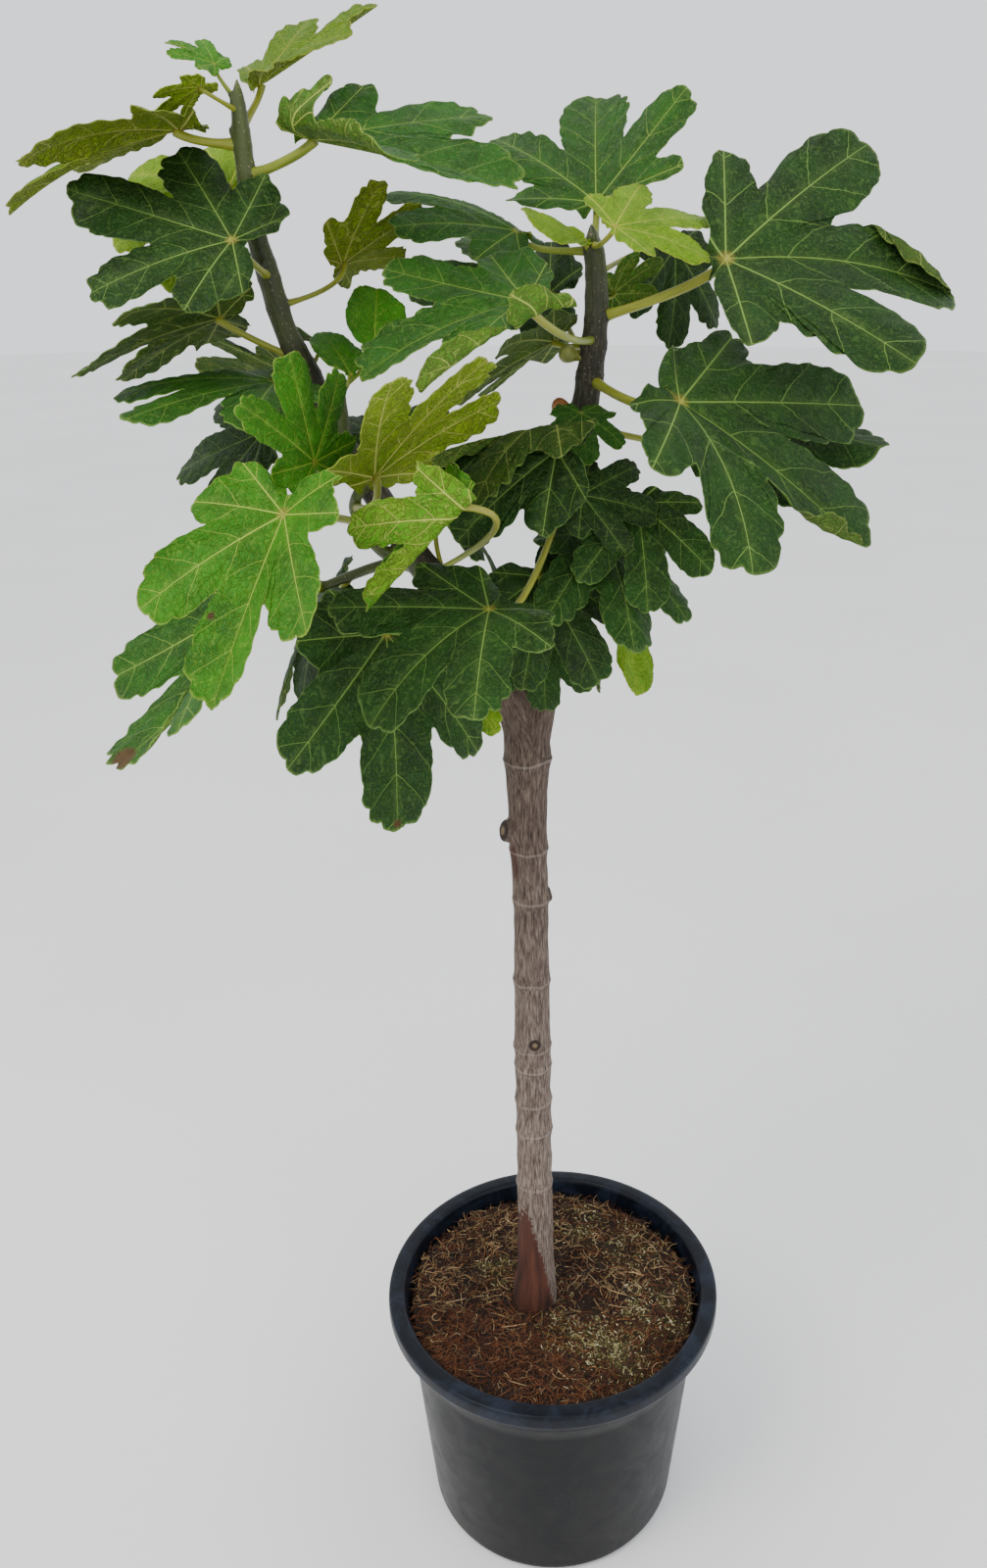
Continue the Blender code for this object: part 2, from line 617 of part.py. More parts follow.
# ---------------------------------------------------------------- young figs
FIGS = [
    ("fig_upper", "right", 0.79, (-165, 20), 0.0062),
    ("fig_lower", "right", 0.70, (-160, 10), 0.0060),
]
for name, shoot, along, (heading, rise), radius in FIGS:
    h, r = math.radians(heading), math.radians(rise)
    way = Vector((math.cos(r) * math.cos(h), math.cos(r) * math.sin(h), math.sin(r)))
    _, foot = clear_of_bark(shoot, along, way, radius * 0.35)
    shape = [(0.0, 0.35), (0.5, 0.55), (1.2, 0.95), (1.9, 0.9), (2.5, 0.45)]
    rings = [
        ring_about(foot + way * radius * s, way, radius * w, 8, Vector((0, 0, 1)))
        for s, w in shape
    ]
    lofted(name, rings, FRUIT)
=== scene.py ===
"""Looks of a young potted fig tree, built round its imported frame.

From the ground up: the nursery pot, the potting mix, the wood with its bark, the
leaves with their stalks, the young figs and buds, and last the studio.
"""

import math
from functools import partial

import bpy
import numpy as np
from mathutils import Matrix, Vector, kdtree, noise


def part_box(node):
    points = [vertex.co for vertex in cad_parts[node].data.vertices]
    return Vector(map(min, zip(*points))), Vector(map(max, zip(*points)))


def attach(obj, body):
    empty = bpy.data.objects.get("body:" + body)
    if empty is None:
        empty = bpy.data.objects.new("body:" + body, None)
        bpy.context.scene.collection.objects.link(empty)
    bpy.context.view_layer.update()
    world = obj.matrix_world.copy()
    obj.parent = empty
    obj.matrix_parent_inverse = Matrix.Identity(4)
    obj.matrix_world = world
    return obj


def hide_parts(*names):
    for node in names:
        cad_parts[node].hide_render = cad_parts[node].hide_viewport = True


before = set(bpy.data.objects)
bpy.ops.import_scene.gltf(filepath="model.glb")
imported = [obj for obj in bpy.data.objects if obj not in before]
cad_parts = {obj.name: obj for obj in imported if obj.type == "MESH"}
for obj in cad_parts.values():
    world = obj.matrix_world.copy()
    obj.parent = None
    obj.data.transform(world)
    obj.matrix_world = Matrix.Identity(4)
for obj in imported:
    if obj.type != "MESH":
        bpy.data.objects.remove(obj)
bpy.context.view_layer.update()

# ---------------------------------------------------------------- nursery pot
# A round nursery pot, injection moulded in one piece in black polypropylene. The wall
# flares under a thick rolled rim. The plastic is smooth and softly glossy, and it has
# picked up scuffs on the rim, dried water marks and a film of dust near the ground.
pot_low, pot_high = (Vector(corner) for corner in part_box("pot"))
POT_HEIGHT = pot_high.z
RIM_RADIUS = pot_high.x
RIM_OVERHANG = 0.0195
RIM_LIP = 0.013
RIM_SKIRT = 0.016
SHOULDER = 0.045
POT_TAPER = 0.016
POT_WALL = 0.0024
POT_FLOOR = 0.003
POT_SIDES = 144


def colour(code, alpha=1.0):
    """A linear colour from an sRGB hex value."""
    parts = [int(code[i : i + 2], 16) / 255 for i in (1, 3, 5)]
    linear = [c / 12.92 if c <= 0.04045 else ((c + 0.055) / 1.055) ** 2.4 for c in parts]
    return (*linear, alpha)


def add_node(tree, kind, *values, stops=(), **named):
    """Adds a node to a material. kind may end with its operation or blend type.

    The values go to the inputs in order. Capitalised names are inputs too, with _ for a
    space, and the rest are settings. stops are a ramp's (place, sRGB hex or grey) pairs.
    MapRange takes the value, then the range it comes from and the range it goes to.
    """
    kind, _, mode = kind.partition(" ")
    node = tree.nodes.new("ShaderNode" + kind)
    if mode:
        named["blend_type" if kind == "MixRGB" else "operation"] = mode
    inputs = dict(enumerate(values))
    for name, value in named.items():
        if name[0].islower():
            setattr(node, name, value)
        else:
            inputs[name.replace("_", " ")] = value
    for key, value in inputs.items():
        value = value.outputs[0] if isinstance(value, bpy.types.Node) else value
        if isinstance(value, bpy.types.NodeSocket):
            tree.links.new(value, node.inputs[key])
        else:
            node.inputs[key].default_value = value
    for i, (place, tint) in enumerate(stops):
        ramp = node.color_ramp.elements
        stop = ramp[i] if i < 2 else ramp.new(place)
        stop.position = place
        stop.color = colour(tint) if isinstance(tint, str) else (tint, tint, tint, 1.0)
    return node


def new_material(name):
    """An empty node material, and the function that adds nodes to it."""
    made = bpy.data.materials.new(name)
    made.use_nodes = True
    made.node_tree.nodes.clear()
    return made, partial(add_node, made.node_tree)


def mesh_object(name, points, faces, materials, slots=None, smooth=True):
    """A mesh object from arrays, with a material slot number for each face."""
    mesh = bpy.data.meshes.new(name)
    mesh.from_pydata([tuple(p) for p in points], [], [tuple(map(int, f)) for f in faces])
    for surface in materials:
        mesh.materials.append(surface)
    if slots is not None:
        mesh.polygons.foreach_set("material_index", np.asarray(slots, np.int32))
    mesh.polygons.foreach_set("use_smooth", np.full(len(mesh.polygons), smooth))
    mesh.update()
    made = bpy.data.objects.new(name, mesh)
    bpy.context.collection.objects.link(made)
    return made


def keep(mesh, name, values, kind="FLOAT"):
    """Stores a value for each point of a mesh, for its material to read."""
    field = {"FLOAT": "value", "FLOAT_VECTOR": "vector", "FLOAT_COLOR": "color"}[kind]
    layer = mesh.attributes.new(name, kind, "POINT")
    layer.data.foreach_set(field, np.asarray(values, np.float32).ravel())


def bands(start, rings, sides, turned_over=False):
    """Quads that join each ring of points to the next one."""
    for k in range(rings - 1):
        low, high = start + k * sides, start + (k + 1) * sides
        for i in range(sides):
            j = (i + 1) % sides
            quad = (low + i, low + j, high + j, high + i)
            yield quad[:1] + quad[:0:-1] if turned_over else quad


def polypropylene():
    """Moulded black polypropylene: near black, softly glossy, with dried water marks."""
    made, add = new_material("black_polypropylene_moulded")
    place = add("TexCoord").outputs["Object"]
    height = add("SeparateXYZ", place).outputs["Z"]
    # Rain has drawn long faint streaks down the wall: 12 mm wide and ten times as tall.
    tall = add("VectorMath MULTIPLY", place, (1.0, 1.0, 0.1))
    streaks = add("TexNoise", Vector=tall, Scale=85.0, Detail=6.0)
    smudges = add("TexNoise", Vector=place, Scale=26.0, Detail=8.0, Roughness=0.65, Distortion=1.4)
    # Dried drops, about 2 mm across.
    drops = add("TexVoronoi", Vector=place, Scale=190.0, Randomness=1.0)
    drop_mask = add("ValToRGB", drops, stops=[(0.10, 1.0), (0.22, 0.0)])
    sparse = add("TexNoise", Vector=place, Scale=14.0, Detail=2.0)
    sparse = add("ValToRGB", sparse, stops=[(0.52, 0.0), (0.70, 1.0)])
    drop_mask = add("Math MULTIPLY", drop_mask, sparse)
    body = add("ValToRGB", streaks, stops=[(0.30, "#030406"), (0.70, "#07080b")])
    worn = add("ValToRGB", smudges, stops=[(0.46, 0.0), (0.74, 1.0)])
    on_rim = add("MapRange", height, POT_HEIGHT - 0.030, POT_HEIGHT - 0.012)
    rim_tint = add("MixRGB", on_rim, body, colour("#090d15"))
    wear = add("MapRange", on_rim, 0.0, 1.0, 0.04, 0.55)
    wear = add("Math MULTIPLY", worn, wear)
    scuffed = add("MixRGB", wear, rim_tint, colour("#2b3547"))
    spot = add("Math MULTIPLY", drop_mask, 0.12)
    specks = add("TexVoronoi", Vector=place, Scale=420.0)
    specks = add("ValToRGB", specks, stops=[(0.05, 1.0), (0.09, 0.0)])
    specks = add("Math MULTIPLY", specks, sparse)
    specks = add("Math MULTIPLY", specks, on_rim)
    spot = add("Math MAXIMUM", spot, specks)
    spotted = add("MixRGB", spot, scuffed, colour("#7a7f86"))
    low = add("MapRange", height, 0.055, 0.0, 0.0, 0.35)
    low = add("Math MULTIPLY", low, smudges)
    dusty = add("MixRGB", low, spotted, colour("#2c2a26"))
    rough = add("MapRange", smudges, 0.3, 0.75, 0.30, 0.46)
    matter = add("MapRange", on_rim, 0.0, 1.0, 0.03, 0.0)
    rough = add("Math ADD", rough, matter)
    grain = add("TexNoise", Vector=place, Scale=900.0, Detail=3.0)
    ripple = add("Math ADD", grain, smudges)
    relief = add("Bump", Height=ripple, Strength=0.25, Distance=0.0006)
    surface = add("BsdfPrincipled", Base_Color=dusty, Roughness=rough, IOR=1.49, Normal=relief,
                  Specular_IOR_Level=0.17)
    add("OutputMaterial", surface)
    return made


def rounded(corners, steps=6):
    """A profile whose corners (r, z, fillet radius) are rounded by short arcs."""
    found = []
    for k, (r, z, fillet) in enumerate(corners):
        here = Vector((r, z))
        if not fillet or k in (0, len(corners) - 1):
            found.append(here)
            continue
        back = Vector(corners[k - 1][:2]) - here
        on = Vector(corners[k + 1][:2]) - here
        start = here + back.normalized() * min(fillet, back.length * 0.49)
        end = here + on.normalized() * min(fillet, on.length * 0.49)
        for i in range(steps + 1):
            t = i / steps
            found.append(start * (1 - t) ** 2 + here * 2 * t * (1 - t) + end * t**2)
    return found


def turned(name, profile, sides, surface):
    """A closed body turned about Z from a profile that starts and ends on the axis."""
    inner = profile[1:-1]
    turns = np.linspace(0, 2 * math.pi, sides, endpoint=False)
    points = [(0, 0, profile[0].y), (0, 0, profile[-1].y)]
    points += [(p.x * math.cos(a), p.x * math.sin(a), p.y) for p in inner for a in turns]
    faces = list(bands(2, len(inner), sides))
    last = 2 + (len(inner) - 1) * sides
    for i in range(sides):
        j = (i + 1) % sides
        faces += [(0, 2 + j, 2 + i), (1, last + i, last + j)]
    return mesh_object(name, points, faces, [surface])


wall_top_radius = RIM_RADIUS - RIM_OVERHANG
base_radius = wall_top_radius - POT_TAPER
lip_inside = RIM_RADIUS - RIM_LIP
pot = turned(
    "nursery_pot",
    rounded([
        (0.0, 0.0, 0),
        (base_radius - 0.0040, 0.0, 0.004),
        (base_radius, 0.0050, 0.004),
        (wall_top_radius, POT_HEIGHT - SHOULDER, 0.006),
        (wall_top_radius + 0.35 * RIM_OVERHANG, POT_HEIGHT - 0.030, 0.007),
        (RIM_RADIUS - 0.0028, POT_HEIGHT - RIM_SKIRT - 0.0015, 0.0015),
        (RIM_RADIUS, POT_HEIGHT - RIM_SKIRT + 0.0025, 0.002),
        (RIM_RADIUS, POT_HEIGHT - 0.0015, 0.004),
        (RIM_RADIUS - 0.004, POT_HEIGHT, 0.003),
        (lip_inside, POT_HEIGHT, 0.002),
        (lip_inside - 0.0025, POT_HEIGHT - 0.0030, 0.002),
        (wall_top_radius - POT_WALL + 0.0030, POT_HEIGHT - 0.024, 0.005),
        (wall_top_radius - POT_WALL, POT_HEIGHT - SHOULDER, 0.005),
        (base_radius - POT_WALL, POT_FLOOR, 0.002),
        (0.0, POT_FLOOR, 0),
    ]),
    POT_SIDES,
    polypropylene(),
)
DRAIN_HOLES = 6
DRAIN_RADIUS = 0.007
DRAIN_CIRCLE = 0.070
for i in range(DRAIN_HOLES):
    angle = 2 * math.pi * (i + 0.37) / DRAIN_HOLES
    spot = (DRAIN_CIRCLE * math.cos(angle), DRAIN_CIRCLE * math.sin(angle), 0)
    bpy.ops.mesh.primitive_cylinder_add(
        vertices=24, radius=DRAIN_RADIUS, depth=4 * POT_FLOOR, location=spot
    )
    drill = bpy.context.object
    cut = pot.modifiers.new("drain", "BOOLEAN")
    cut.operation = "DIFFERENCE"
    cut.object = drill
    bpy.context.view_layer.objects.active = pot
    bpy.ops.object.modifier_apply(modifier=cut.name)
    bpy.data.objects.remove(drill, do_unlink=True)
# A thin wall bellies a little between the rim and the base as the mix presses on it.
for point in pot.data.vertices:
    height = point.co.z / POT_HEIGHT
    belly = 0.0005 * math.sin(math.pi * min(height, 1.0))
    wave = noise.noise(point.co * 14)
    if 0.02 < height < 0.85:
        point.co.xy *= 1 + (belly * (1 + wave)) / max(point.co.xy.length, 0.02)
pot.data.set_sharp_from_angle(angle=math.radians(40))
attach(pot, "root")
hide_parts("pot")

# ---------------------------------------------------------------- potting mix
# Loose coir and bark mix. Its top has dried into a mat of brown coir fibres with dark
# hollows by the trunk, and pale moss has spread over the side away from it.
SOIL_TOP = POT_HEIGHT - 0.021
SOIL_UNEVEN = 0.0022
SOIL_RADIUS = 0.1302
SOIL_RINGS = 62
SOIL_SECTORS = 220
FIBRES = 8200
MOSS_TUFTS = 12000
# Hollows in the mix: x, y, width, depth. Patches of moss: x, y, width.
HOLLOWS = [
    (0.030, -0.010, 0.022, 0.009), (0.012, 0.045, 0.016, 0.005), (-0.055, -0.018, 0.013, 0.005),
]
MOSS_PATCHES = [
    (0.048, -0.062, 0.042), (0.095, -0.020, 0.034), (0.012, -0.040, 0.024),
    (0.075, 0.055, 0.026), (0.030, 0.085, 0.020), (-0.055, 0.030, 0.018),
]
TRUNK_FOOT = Vector((-0.017, 0.0, 0.0))
TRUNK_RADIUS = 0.0205
rng = np.random.default_rng(7)


def clamped(value):
    """The value, kept from 0 to 1."""
    return min(max(value, 0.0), 1.0)


def ground_height(x, y):
    """The lie of the mix: low mounds, lumps, and hollows near the trunk."""
    height = math.sin(61 * x + 1.0) * math.cos(53 * y - 0.6) + 0.5 * math.sin(117 * x - 89 * y)
    height = SOIL_TOP + SOIL_UNEVEN * height + 0.0045 * min((math.hypot(x, y) / 0.11) ** 2, 1.0)
    height += 0.0030 * noise.fractal(Vector((x, y, 0.3)) * 38, 0.9, 2.1, 4)
    height += 0.0016 * noise.fractal(Vector((x, y, 2.3)) * 170, 0.8, 2.0, 3)
    for hollow_x, hollow_y, width, depth in HOLLOWS:
        gap = math.hypot(x - hollow_x, y - hollow_y) / width
        height -= depth * math.exp(-gap * gap)
    return height


def mossiness(x, y):
    """How much moss grows at a place, from 0 to 1."""
    found = 0.0
    for patch_x, patch_y, width in MOSS_PATCHES:
        gap = math.hypot(x - patch_x, y - patch_y) / width
        found = max(found, math.exp(-gap * gap * 1.4))
    ragged = 0.5 + 0.9 * noise.noise(Vector((x, y, 5.0)) * 60)
    return clamped(found * 1.5 * ragged)


def potting_mix():
    """Matted coir: matt browns by fibre, with pale yellow-green moss."""
    made, add = new_material("coir_mix_matted")
    place = add("TexCoord").outputs["Object"]
    own = add("Attribute", attribute_name="fibre_colour").outputs["Color"]
    # Crumbs about 1.5 mm across, and grain within each.
    crumbs = add("TexVoronoi", Vector=place, Scale=620.0)
    grain = add("TexNoise", Vector=place, Scale=1400.0, Detail=5.0)
    shade = add("ValToRGB", grain, stops=[(0.30, 0.45), (0.72, 1.35)])
    toned = add("MixRGB MULTIPLY", 1.0, own, shade)
    relief = add("Bump", Height=crumbs, Strength=0.6, Distance=0.0012)
    surface = add("BsdfPrincipled", Base_Color=toned, Roughness=0.95, Normal=relief, IOR=1.45)
    add("OutputMaterial", surface)
    return made


COIR_TINTS = ["#150d08", "#2b190f", "#4a2814", "#673a1e", "#7c5130", "#b0946a", "#33201a", "#8d7650"]
MOSS_TINTS = ["#7d7740", "#a39a64", "#c0b586", "#d8d0a8", "#6b6a3a"]
coir_tints = np.array([colour(tint)[:3] for tint in COIR_TINTS])
moss_tints = np.array([colour(tint)[:3] for tint in MOSS_TINTS])
soil_points, soil_tints = [], []
soil_faces = list(bands(0, SOIL_RINGS + 1, SOIL_SECTORS, True))
for k in range(SOIL_RINGS + 1):
    for i in range(SOIL_SECTORS):
        a = 2 * math.pi * i / SOIL_SECTORS
        way = Vector((math.cos(a), math.sin(a), 0))
        p = (TRUNK_FOOT + way * (TRUNK_RADIUS - 0.004)).lerp(way * SOIL_RADIUS, k / SOIL_RINGS)
        z = ground_height(p.x, p.y) if k < SOIL_RINGS else SOIL_TOP - 0.012
        soil_points.append((p.x, p.y, z))
        dark = 0.5 + 0.5 * noise.noise(Vector((p.x, p.y, 1.0)) * 70)
        bare = coir_tints[0] * (1 - dark) + coir_tints[1] * dark
        soil_tints.append(bare + (moss_tints[0] - bare) * mossiness(p.x, p.y) * 0.22)


def strand(foot, heading, rise, length, curl, radius, tint, steps=5):
    """One fibre: a thin three-sided thread that curls as it goes, lying on the mix."""
    soil_faces.extend(bands(len(soil_points), steps + 1, 3, True))
    here = Vector(foot)
    for k in range(steps + 1):
        way = Vector((math.cos(heading), math.sin(heading), rise)).normalized()
        side = Vector((-way.y, way.x, 0)).normalized()
        up = way.cross(side)
        thick = radius * (1.0 if k < steps else 0.35)
        for i in range(3):
            a = 2 * math.pi * i / 3
            soil_points.append(here + (side * math.cos(a) + up * math.sin(a)) * thick)
            soil_tints.append(tint)
        heading += curl
        rise -= 0.5 * abs(rise) * 0.6 + 0.12 / steps
        here = here + way * length / steps
        here.z = max(here.z, ground_height(here.x, here.y) + radius * 0.4) if k % 2 else here.z


for kind in range(FIBRES + MOSS_TUFTS):
    mossy = kind >= FIBRES
    r = SOIL_RADIUS * 0.985 * math.sqrt(rng.random())
    a = rng.random() * 2 * math.pi
    x, y = r * math.cos(a), r * math.sin(a)
    growth = mossiness(x, y)
    if math.hypot(x - TRUNK_FOOT.x, y - TRUNK_FOOT.y) < TRUNK_RADIUS + 0.001:
        continue
    if mossy != (rng.random() < growth * 0.9):
        continue
    if any(math.hypot(x - hx, y - hy) < wide * rng.random() for hx, hy, wide, _ in HOLLOWS):
        continue
    foot = (x, y, ground_height(x, y) + 0.0003)
    turn = rng.random() * 2 * math.pi
    shade = 0.75 + 0.5 * rng.random()
    if mossy:
        tint = moss_tints[rng.integers(len(moss_tints))] * shade
        strand(foot, turn, 0.3 + rng.random(), 0.0018 + 0.0036 * rng.random(), rng.normal(0, 0.9),
               0.00042, tint, 3)
    else:
        redder = 2 + int(2.6 * rng.random()) if y < -0.02 and rng.random() < 0.75 else None
        pick = redder if redder is not None else rng.integers(len(coir_tints))
        length = 0.006 + 0.018 * rng.random() ** 2
        strand(foot, turn, 0.45 * rng.random(), length, rng.normal(0, 0.42),
               0.00022 + 0.0003 * rng.random() ** 2, coir_tints[pick] * shade)
mix = mesh_object("potting_mix_top", soil_points, soil_faces, [potting_mix()])
keep(mix.data, "fibre_colour", np.c_[np.array(soil_tints).reshape(-1, 3), np.ones(len(soil_tints))],
     "FLOAT_COLOR")
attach(mix, "root")
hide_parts("soil")

# ---------------------------------------------------------------- wood
# One grown piece: a bare trunk that forks into two leading shoots, with three short
# twigs. Old bark is grey-brown and finely fissured along its length, with a raised
# ring at each old leaf joint. It turns dark and smooth up the shoots, and green at
# their tips. Pruned knobs show dark ends, and one cut shows pale wood.
# Each shoot is a route of (x, y, z, radius). "stem" and "left" are one run of wood.
SHOOTS = {
    "stem": [
        (-0.017, 0.0, SOIL_TOP - 0.065, 0.0205), (-0.0165, 0.0, SOIL_TOP + 0.008, 0.02),
        (-0.0155, 0.0, 0.26, 0.0168), (-0.016, 0.0, 0.355, 0.0152), (-0.017, 0.0, 0.5, 0.0148),
        (-0.0175, 0.0, 0.625, 0.014), (-0.0195, 0.0, 0.705, 0.015), (-0.0195, 0.0, 0.76, 0.0175),
    ],
    "left": [
        (-0.025, 0.0, 0.785, 0.015), (-0.042, -0.005, 0.835, 0.012), (-0.066, -0.01, 0.872, 0.011),
        (-0.092, -0.015, 0.905, 0.0105), (-0.12, -0.02, 0.954, 0.0095), (-0.14, -0.025, 0.987, 0.009),
        (-0.154, -0.025, 1.019, 0.0085), (-0.17, -0.03, 1.056, 0.0075), (-0.179, -0.03, 1.091, 0.007),
        (-0.185, -0.03, 1.116, 0.0065), (-0.188, -0.03, 1.15, 0.006), (-0.189, -0.03, 1.176, 0.005),
        (-0.189, -0.03, 1.189, 0.004),
    ],
    "right": [
        (-0.017, 0.001, 0.762, 0.014), (-0.007, 0.002, 0.815, 0.013), (0.001, 0.005, 0.868, 0.0115),
        (0.01, 0.01, 0.924, 0.0105), (0.018, 0.015, 0.985, 0.0095), (0.024, 0.02, 1.017, 0.009),
        (0.029, 0.02, 1.062, 0.008), (0.029, 0.02, 1.092, 0.007), (0.027, 0.02, 1.11, 0.0055),
    ],
    "side": [
        (-0.094, -0.015, 0.906, 0.006), (-0.115, -0.02, 0.913, 0.005), (-0.128, -0.03, 0.932, 0.0045),
        (-0.133, -0.035, 0.95, 0.004), (-0.125, -0.04, 0.967, 0.0034),
    ],
    "low": [
        (-0.09, -0.014, 0.9, 0.0052), (-0.117, -0.008, 0.903, 0.004), (-0.165, 0.0, 0.885, 0.0032),
    ],
    "young": [
        (-0.14, -0.025, 0.985, 0.006), (-0.139, -0.031, 1.008, 0.0048), (-0.139, -0.036, 1.026, 0.0034),
    ],
}
# Leaves from each shoot's tip down: along, stalk (heading, rise, length), hang (heading,
# pitch, roll), size, bend (fold, left droop, middle droop, right droop), cut, tone.
BORNE = {
    "left": [
        (0.97, (65, 50, 0.033), (15, 30, 5), 0.085, (20, 10, -5, 45), 0.4, "lime"),
        (1.00, (-150, 58, 0.024), (170, 35, -20), 0.032, (5, 20, 25, 20), 0.3, "bright"),
        (0.99, (-130, 24, 0.029), (170, -20, 10), 0.034, (10, 20, 25, 20), 0.2, "lime"),
        (0.95, (-170, 13, 0.038), (-175, -10, 5), 0.115, (10, 30, 30, 10), 0.1, "lime"),
        (0.91, (-25, 23, 0.053), (-15, -10, 10), 0.130, (20, 10, 5, 20), 0.4, "mid"),
        (0.80, (119.9, 35.7, 0.0769), (-165, -15, -45), 0.090, (0, 20, 25, 30), 0.4, "lime"),
        (0.78, (-100, 23, 0.058), (165, 15, -40), 0.105, (0, 30, 5, 10), 0.2, "dark"),
        (0.74, (55, 22, 0.065), (25, 35, -45), 0.068, (15, 20, 20, 20), 0.6, "lime"),
        (0.68, (100, -22, 0.068), (150, 10, 30), 0.085, (10, 20, 20, 25), 0.4, "dark"),
        (0.64, (65, 45, 0.026), (120, 10, 20), 0.050, (10, 20, 25, 20), None, "dark"),
        (0.66, (-165, 30, 0.056), (-155, -10, 30), 0.098, (10, 45, 20, 20), 0.3, "dark"),
        (0.64, (-125.2, -2.4, 0.0286), (-130, 0, -10), 0.110, (5, 20, 15, 45), 0.3, "mid"),
        (0.58, (-166, -14, 0.044), (155, -20, -60), 0.080, (15, 20, 10, 60), 0.1, "dark"),
        (0.50, (-93, 9, 0.113), (-140, 80, -75), 0.065, (5, 35, 5, 15), 0.0, "bright"),
        (0.29, (-77, 27, 0.174), (175, -45, -25), 0.090, (5, 35, 0, 10), 0.0, "bright"),
        (0.24, (127, 83, 0.060), (-10, -25, -20), 0.065, (-5, 20, 50, 40), 0.4, "dark"),
        (0.19, (-118, 10, 0.105), (-75, -60, -20), 0.125, (5, 30, 15, 20), 0.8, "dark"),
        (0.16, (-107, -12, 0.046), (-120, -65, 0), 0.060, (0, 20, 40, 35), 0.3, "lime"),
        (0.47, (70, 25, 0.045), (100, 35, -10), 0.070, (0, 20, 35, 35), 0.5, "dark"),
    ],
    "young": [
        (0.95, (-10, 45, 0.036), (90, 50, 10), 0.055, (10, 20, 25, 20), None, "bright"),
        (0.85, (-55, 40, 0.024), (125, 40, 0), 0.045, (10, 20, 25, 20), None, "bright"),
    ],
    "side": [
        (0.75, (-73, 23, 0.086), (-15, 50, -15), 0.108, (5, 25, 15, 25), 0.4, "lime"),
        (0.60, (-100, 14, 0.145), (-120, -50, 0), 0.115, (20, 0, 5, 25), 0.1, "bright"),
    ],
    "low": [
        (0.74, (131.1, -30.5, 0.0341), (175, -50, -15), 0.115, (-5, 35, 30, 20), 0.4, "dark"),
        (1.00, (-132, 2, 0.067), (-140, -60, 15), 0.140, (30, 30, -30, 5), 0.0, "mid"),
    ],
    "right": [
        (1.00, (85, 54, 0.034), (90, 40, -10), 0.120, (15, 35, 10, 0), 0.2, "mid"),
        (0.98, (-127, 45, 0.014), (-150, 20, -30), 0.050, (5, 20, 0, 30), None, "lime"),
        (1.00, (-78, 12, 0.057), (30, 10, 30), 0.072, (5, 20, 15, 30), 0.1, "lime"),
        (0.95, (50, 10, 0.092), (-75, -70, -20), 0.072, (5, 25, 30, 25), 0.6, "dark"),
        (0.91, (62, 2, 0.026), (15, 40, -60), 0.040, (0, 15, 30, 40), 0.4, "mid"),
        (0.87, (-29, 23, 0.100), (0, 5, 45), 0.160, (10, 20, 35, 15), 0.0, "dark"),
        (0.83, (-110, 14, 0.131), (-165, -10, -15), 0.110, (10, 55, 25, -15), 0.3, "mid"),
        (0.82, (137, 3, 0.036), (-160, -20, 35), 0.080, (10, 40, 20, 0), 0.2, "dark"),
        (0.77, (112, 33, 0.090), (175, 5, -40), 0.105, (10, 20, 5, 40), 0.4, "dark"),
        (0.76, (-55, -3, 0.098), (-10, -30, 20), 0.155, (15, 0, 15, 70), 0.3, "dark"),
        (0.67, (18.9, -2.3, 0.1139), (-35, 5, 20), 0.115, (-5, 30, 20, 30), 0.4, "dark"),
        (0.71, (-95, 0, 0.042), (-85, -25, 0), 0.045, (5, 30, 30, 20), 0.5, "mid"),
        (0.58, (-46, -12, 0.062), (-80, -50, 0), 0.080, (10, 20, 25, 20), 0.1, "dark"),
        (0.54, (-85, 9, 0.068), (0, -10, 65), 0.056, (0, 50, 30, 30), 0.5, "dark"),
        (0.66, (-101, 0, 0.088), (170, 0, -55), 0.105, (0, 35, 30, 60), 0.4, "dark"),
        (0.47, (-51, 7, 0.039), (-70, -30, -10), 0.100, (-5, 25, 35, 30), 0.5, "dark"),
        (0.60, (-111, -23, 0.168), (-135, -10, -10), 0.112, (10, 40, 45, 0), 0.5, "dark"),
        (0.36, (-103, 17, 0.061), (-30, -50, 30), 0.088, (0, 30, 20, 30), 0.4, "dark"),
        (0.33, (-6, -25, 0.057), (-65, -50, -20), 0.050, (10, 20, 25, 20), None, "lime"),
        (0.29, (53, -28, 0.036), (20, -60, 10), 0.055, (5, 20, 25, 25), 0.4, "dark"),
        (0.24, (-95, 20, 0.038), (-100, -80, 0), 0.060, (10, 25, 25, 25), 0.6, "dark"),
        (0.99, (166, 14, 0.055), (165, 30, -10), 0.095, (-10, 25, 30, 30), 0.2, "mid"),
    ],
}
LEAVES = [
    (f"{shoot}_leaf_{place:02}", *row)
    for shoot, rows in BORNE.items() for place, row in enumerate(rows, 1)
]

SHOOT_STEP = 0.004
WOOD_SIDES = 26
VOXEL = 0.0012


def flowing(route, step):
    """A route of (x, y, z, radius) resampled along a smooth curve through its points."""
    p = np.array(route, float)
    ends = np.vstack([2 * p[0] - p[1], p, 2 * p[-1] - p[-2]])
    found = []
    for a, b, c, d in zip(ends, ends[1:], ends[2:], ends[3:]):
        count = max(2, int(np.linalg.norm(c[:3] - b[:3]) / step))
        for t in np.arange(count) / count:
            found.append(0.5 * (2 * b + (c - a) * t + (2 * a - 5 * b + 4 * c - d) * t**2
                                + (3 * b - a - 3 * c + d) * t**3))
    return np.array(found + [p[-1]])


def direction(heading, rise):
    """The unit vector at a heading and a rise in degrees."""
    h, r = math.radians(heading), math.radians(rise)
    return Vector((math.cos(r) * math.cos(h), math.cos(r) * math.sin(h), math.sin(r)))


